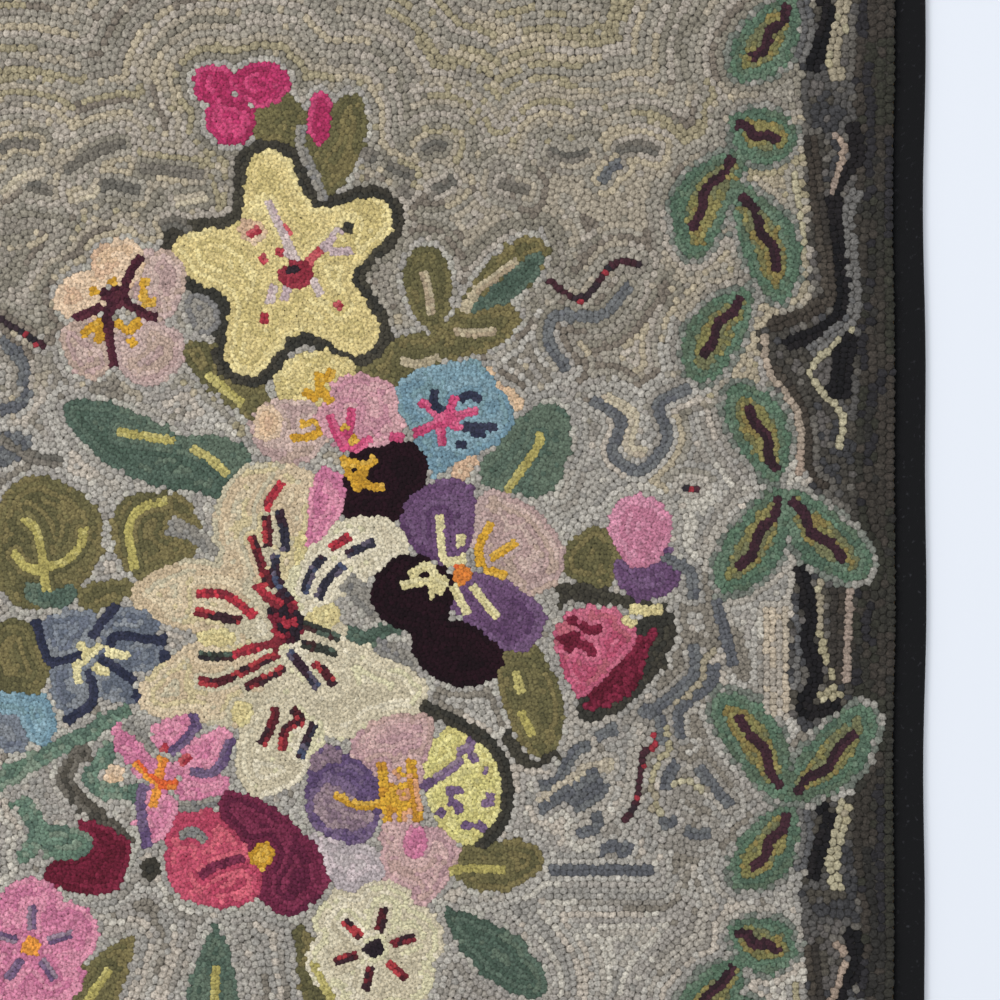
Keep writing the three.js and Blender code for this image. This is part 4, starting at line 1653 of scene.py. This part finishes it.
body_places = [
    both_sides([half - inset for inset in body_rim], count)
    for half, count in zip(PILE_HALF, BODY_STEPS)
]
body_form = grid_form(*body_places, on_body)
lowered = bmesh.ops.extrude_face_region(body_form, geom=body_form.faces[:])["geom"]
for point in lowered:
    if isinstance(point, bmesh.types.BMVert):
        point.co.z = cloth_under(point.co.x, point.co.y) + CLOTH_THICK + ABOVE_CLOTH
for point in body_form.verts:
    lies_x, lies_y = lie_uneven(point.co.x, point.co.y)
    point.co = (lies_x * MM, lies_y * MM, point.co.z * MM)
bmesh.ops.recalc_face_normals(body_form, faces=body_form.faces[:])
body = piece_from(body_form, "pile_body")
shaded_body_wool, tree, shader = new_material("shaded_wool_between_loops", roughness=1.0)
shader.inputs["Base Color"].default_value = (*paint(*BODY_SHADE_COLOUR), 1.0)
body.data.materials.append(shaded_body_wool)
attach(body, "root")
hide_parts("hooked_field")

# The binding is a black cotton twill tape. It is folded lengthwise over the edge of the foundation,
# a wider leg below and a narrower one above, and cut to a mitre at each corner.
TAPE_THICK = 1.2
TAPE_BELOW = 15.0
TAPE_GAP = 0.3
TAPE_HIGH = 4.3
FOLD_REACH = 2.0
FOLD_STEPS = 9
BELOW_STEPS = 8
ABOVE_STEPS = 8
INSIDE_ABOVE_STEPS = 5
INSIDE_BELOW_STEPS = 6
RIPPLE_HIGH = 0.12
RIPPLE_LONG = 23
RIPPLE_FROM = 2
WEAVE_SCALE = 0.1
TAPE_STEPS = {"right": 150, "top": 110, "left": 150, "bottom": 110}


def tape_section():
    """The folded tape's section, as places out from the pile's edge and up from the floor."""
    angles = np.linspace(-math.pi / 2, math.pi / 2, FOLD_STEPS)
    half = TAPE_HIGH / 2
    fold_at = TAPE_SHOWS - FOLD_REACH
    outer = list(zip(fold_at + FOLD_REACH * np.cos(angles), half + half * np.sin(angles)))
    inner_x = fold_at + (FOLD_REACH - TAPE_THICK) * np.cos(angles)
    inner = list(zip(inner_x, half + (half - TAPE_THICK) * np.sin(angles)))[::-1]
    below = [(out, 0.0) for out in np.linspace(-TAPE_BELOW, fold_at, BELOW_STEPS)[:-1]]
    top = [(out, TAPE_HIGH) for out in np.linspace(fold_at, TAPE_GAP, ABOVE_STEPS)[1:]]
    lower = TAPE_HIGH - TAPE_THICK
    top_under = [(out, lower) for out in np.linspace(TAPE_GAP, fold_at, INSIDE_ABOVE_STEPS)[:-1]]
    floor_in = [(out, TAPE_THICK) for out in np.linspace(fold_at, -TAPE_BELOW, INSIDE_BELOW_STEPS)[1:]]
    return below + outer + top + top_under + inner + floor_in


section = tape_section()
section_length = np.append(0, np.hypot(*np.diff(np.array(section), axis=0).T).cumsum())
tape_turns = {"right": 0, "top": 1, "left": 2, "bottom": 3}
tapes = []
for side, turned in tape_turns.items():
    steps = TAPE_STEPS[side]
    pile_edge = PILE_HALF[turned % 2]
    half_side = PILE_HALF[1 - turned % 2]
    form = bmesh.new()
    bmesh.ops.create_cone(
        form, cap_ends=True, segments=len(section), radius1=1.0, radius2=1.0, depth=2.0
    )
    along_edges = [edge for edge in form.edges if abs(edge.verts[0].co.z - edge.verts[1].co.z) > 1.0]
    bmesh.ops.subdivide_edges(form, edges=along_edges, cuts=steps - 1)
    ring_number = {}
    for point in form.verts:
        angle = math.atan2(point.co.x, point.co.y) % (2 * math.pi)
        ring_number[point] = round(angle / (2 * math.pi) * len(section)) % len(section)
    weave_map = form.loops.layers.uv.new("weave")
    for face in form.faces:
        for corner in face.loops:
            number = ring_number[corner.vert]
            along = corner.vert.co.z * half_side * WEAVE_SCALE
            corner[weave_map].uv = (section_length[number] * WEAVE_SCALE, along)
    for point in form.verts:
        out, up = section[ring_number[point]]
        part = point.co.z
        ripple = RIPPLE_HIGH * math.sin(part * half_side / RIPPLE_LONG + turned)
        ripple *= up > TAPE_HIGH / 2
        sag = ripple if RIPPLE_FROM < out < TAPE_SHOWS - FOLD_REACH else 0.0
        across = pile_edge + out
        along = part * (half_side + out - TAPE_GAP / math.sqrt(2))
        x, y = ((across, along), (-along, across), (-across, -along), (along, -across))[turned]
        lies_x, lies_y = lie_uneven(np.array(x), np.array(y))
        point.co = (lies_x * MM, lies_y * MM, (up - abs(sag)) * MM)
    bmesh.ops.recalc_face_normals(form, faces=form.faces[:])
    tape = piece_from(form, f"tape_{side}")
    for face in tape.data.polygons:
        face.use_smooth = len(face.vertices) == 4
    tapes.append(tape)
    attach(tape, "root")
    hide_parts(f"binding_{side}")

# Twill shows as fine slanting ridges, and black cotton catches a little lint.
TAPE_BLACK = (14, 14, 16)
TAPE_LINT = (58, 58, 62)
THREAD_ROUGH = 0.6
twill_group, given, put_out = new_group(
    "twill_weave", {"Place": "Vector"}, {"Height": "Float", "Lint": "Float"}
)
tape_place = given.outputs["Place"]
twill = add_node(
    twill_group,
    "TexWave",
    {"Vector": tape_place, "Scale": 3.2, "Distortion": 0.4, "Detail": 1.0},
    wave_type="BANDS",
    bands_direction="DIAGONAL",
)
threads = add_node(twill_group, "TexNoise", {"Vector": tape_place, "Scale": 30.0})
rough_twill = add_node(
    twill_group,
    "Math",
    {0: threads.outputs["Fac"], 1: THREAD_ROUGH, 2: twill.outputs["Fac"]},
    operation="MULTIPLY_ADD",
)
lint = add_node(twill_group, "TexNoise", {"Vector": tape_place, "Scale": 3.0, "Detail": 6.0})
lint_spots = add_node(
    twill_group, "MapRange", {"Value": lint.outputs["Fac"], "From Min": 0.62, "From Max": 0.8}
)
join(
    twill_group,
    put_out,
    {"Height": rough_twill.outputs["Value"], "Lint": lint_spots.outputs["Result"]},
)

tape_cloth, tree, shader = new_material("black_twill", roughness=0.85)
weave_place = add_node(tree, "UVMap", {}, uv_map="weave")
surface = add_node(tree, "Group", {"Place": weave_place.outputs["UV"]}, node_tree=twill_group)
tape_colours = {"A": (*paint(*TAPE_BLACK), 1.0), "B": (*paint(*TAPE_LINT), 1.0)}
blend = add_node(tree, "Mix", {"Factor": surface.outputs["Lint"], **tape_colours}, data_type="RGBA")
join(tree, shader, {"Base Color": blend.outputs["Result"]})
add_bump(tree, shader, surface.outputs["Height"], strength=0.35, deep=0.0003)
shader.inputs["Specular IOR Level"].default_value = 0.2
shader.inputs["Sheen Weight"].default_value = 0.04
for tape in tapes:
    tape.data.materials.append(tape_cloth)
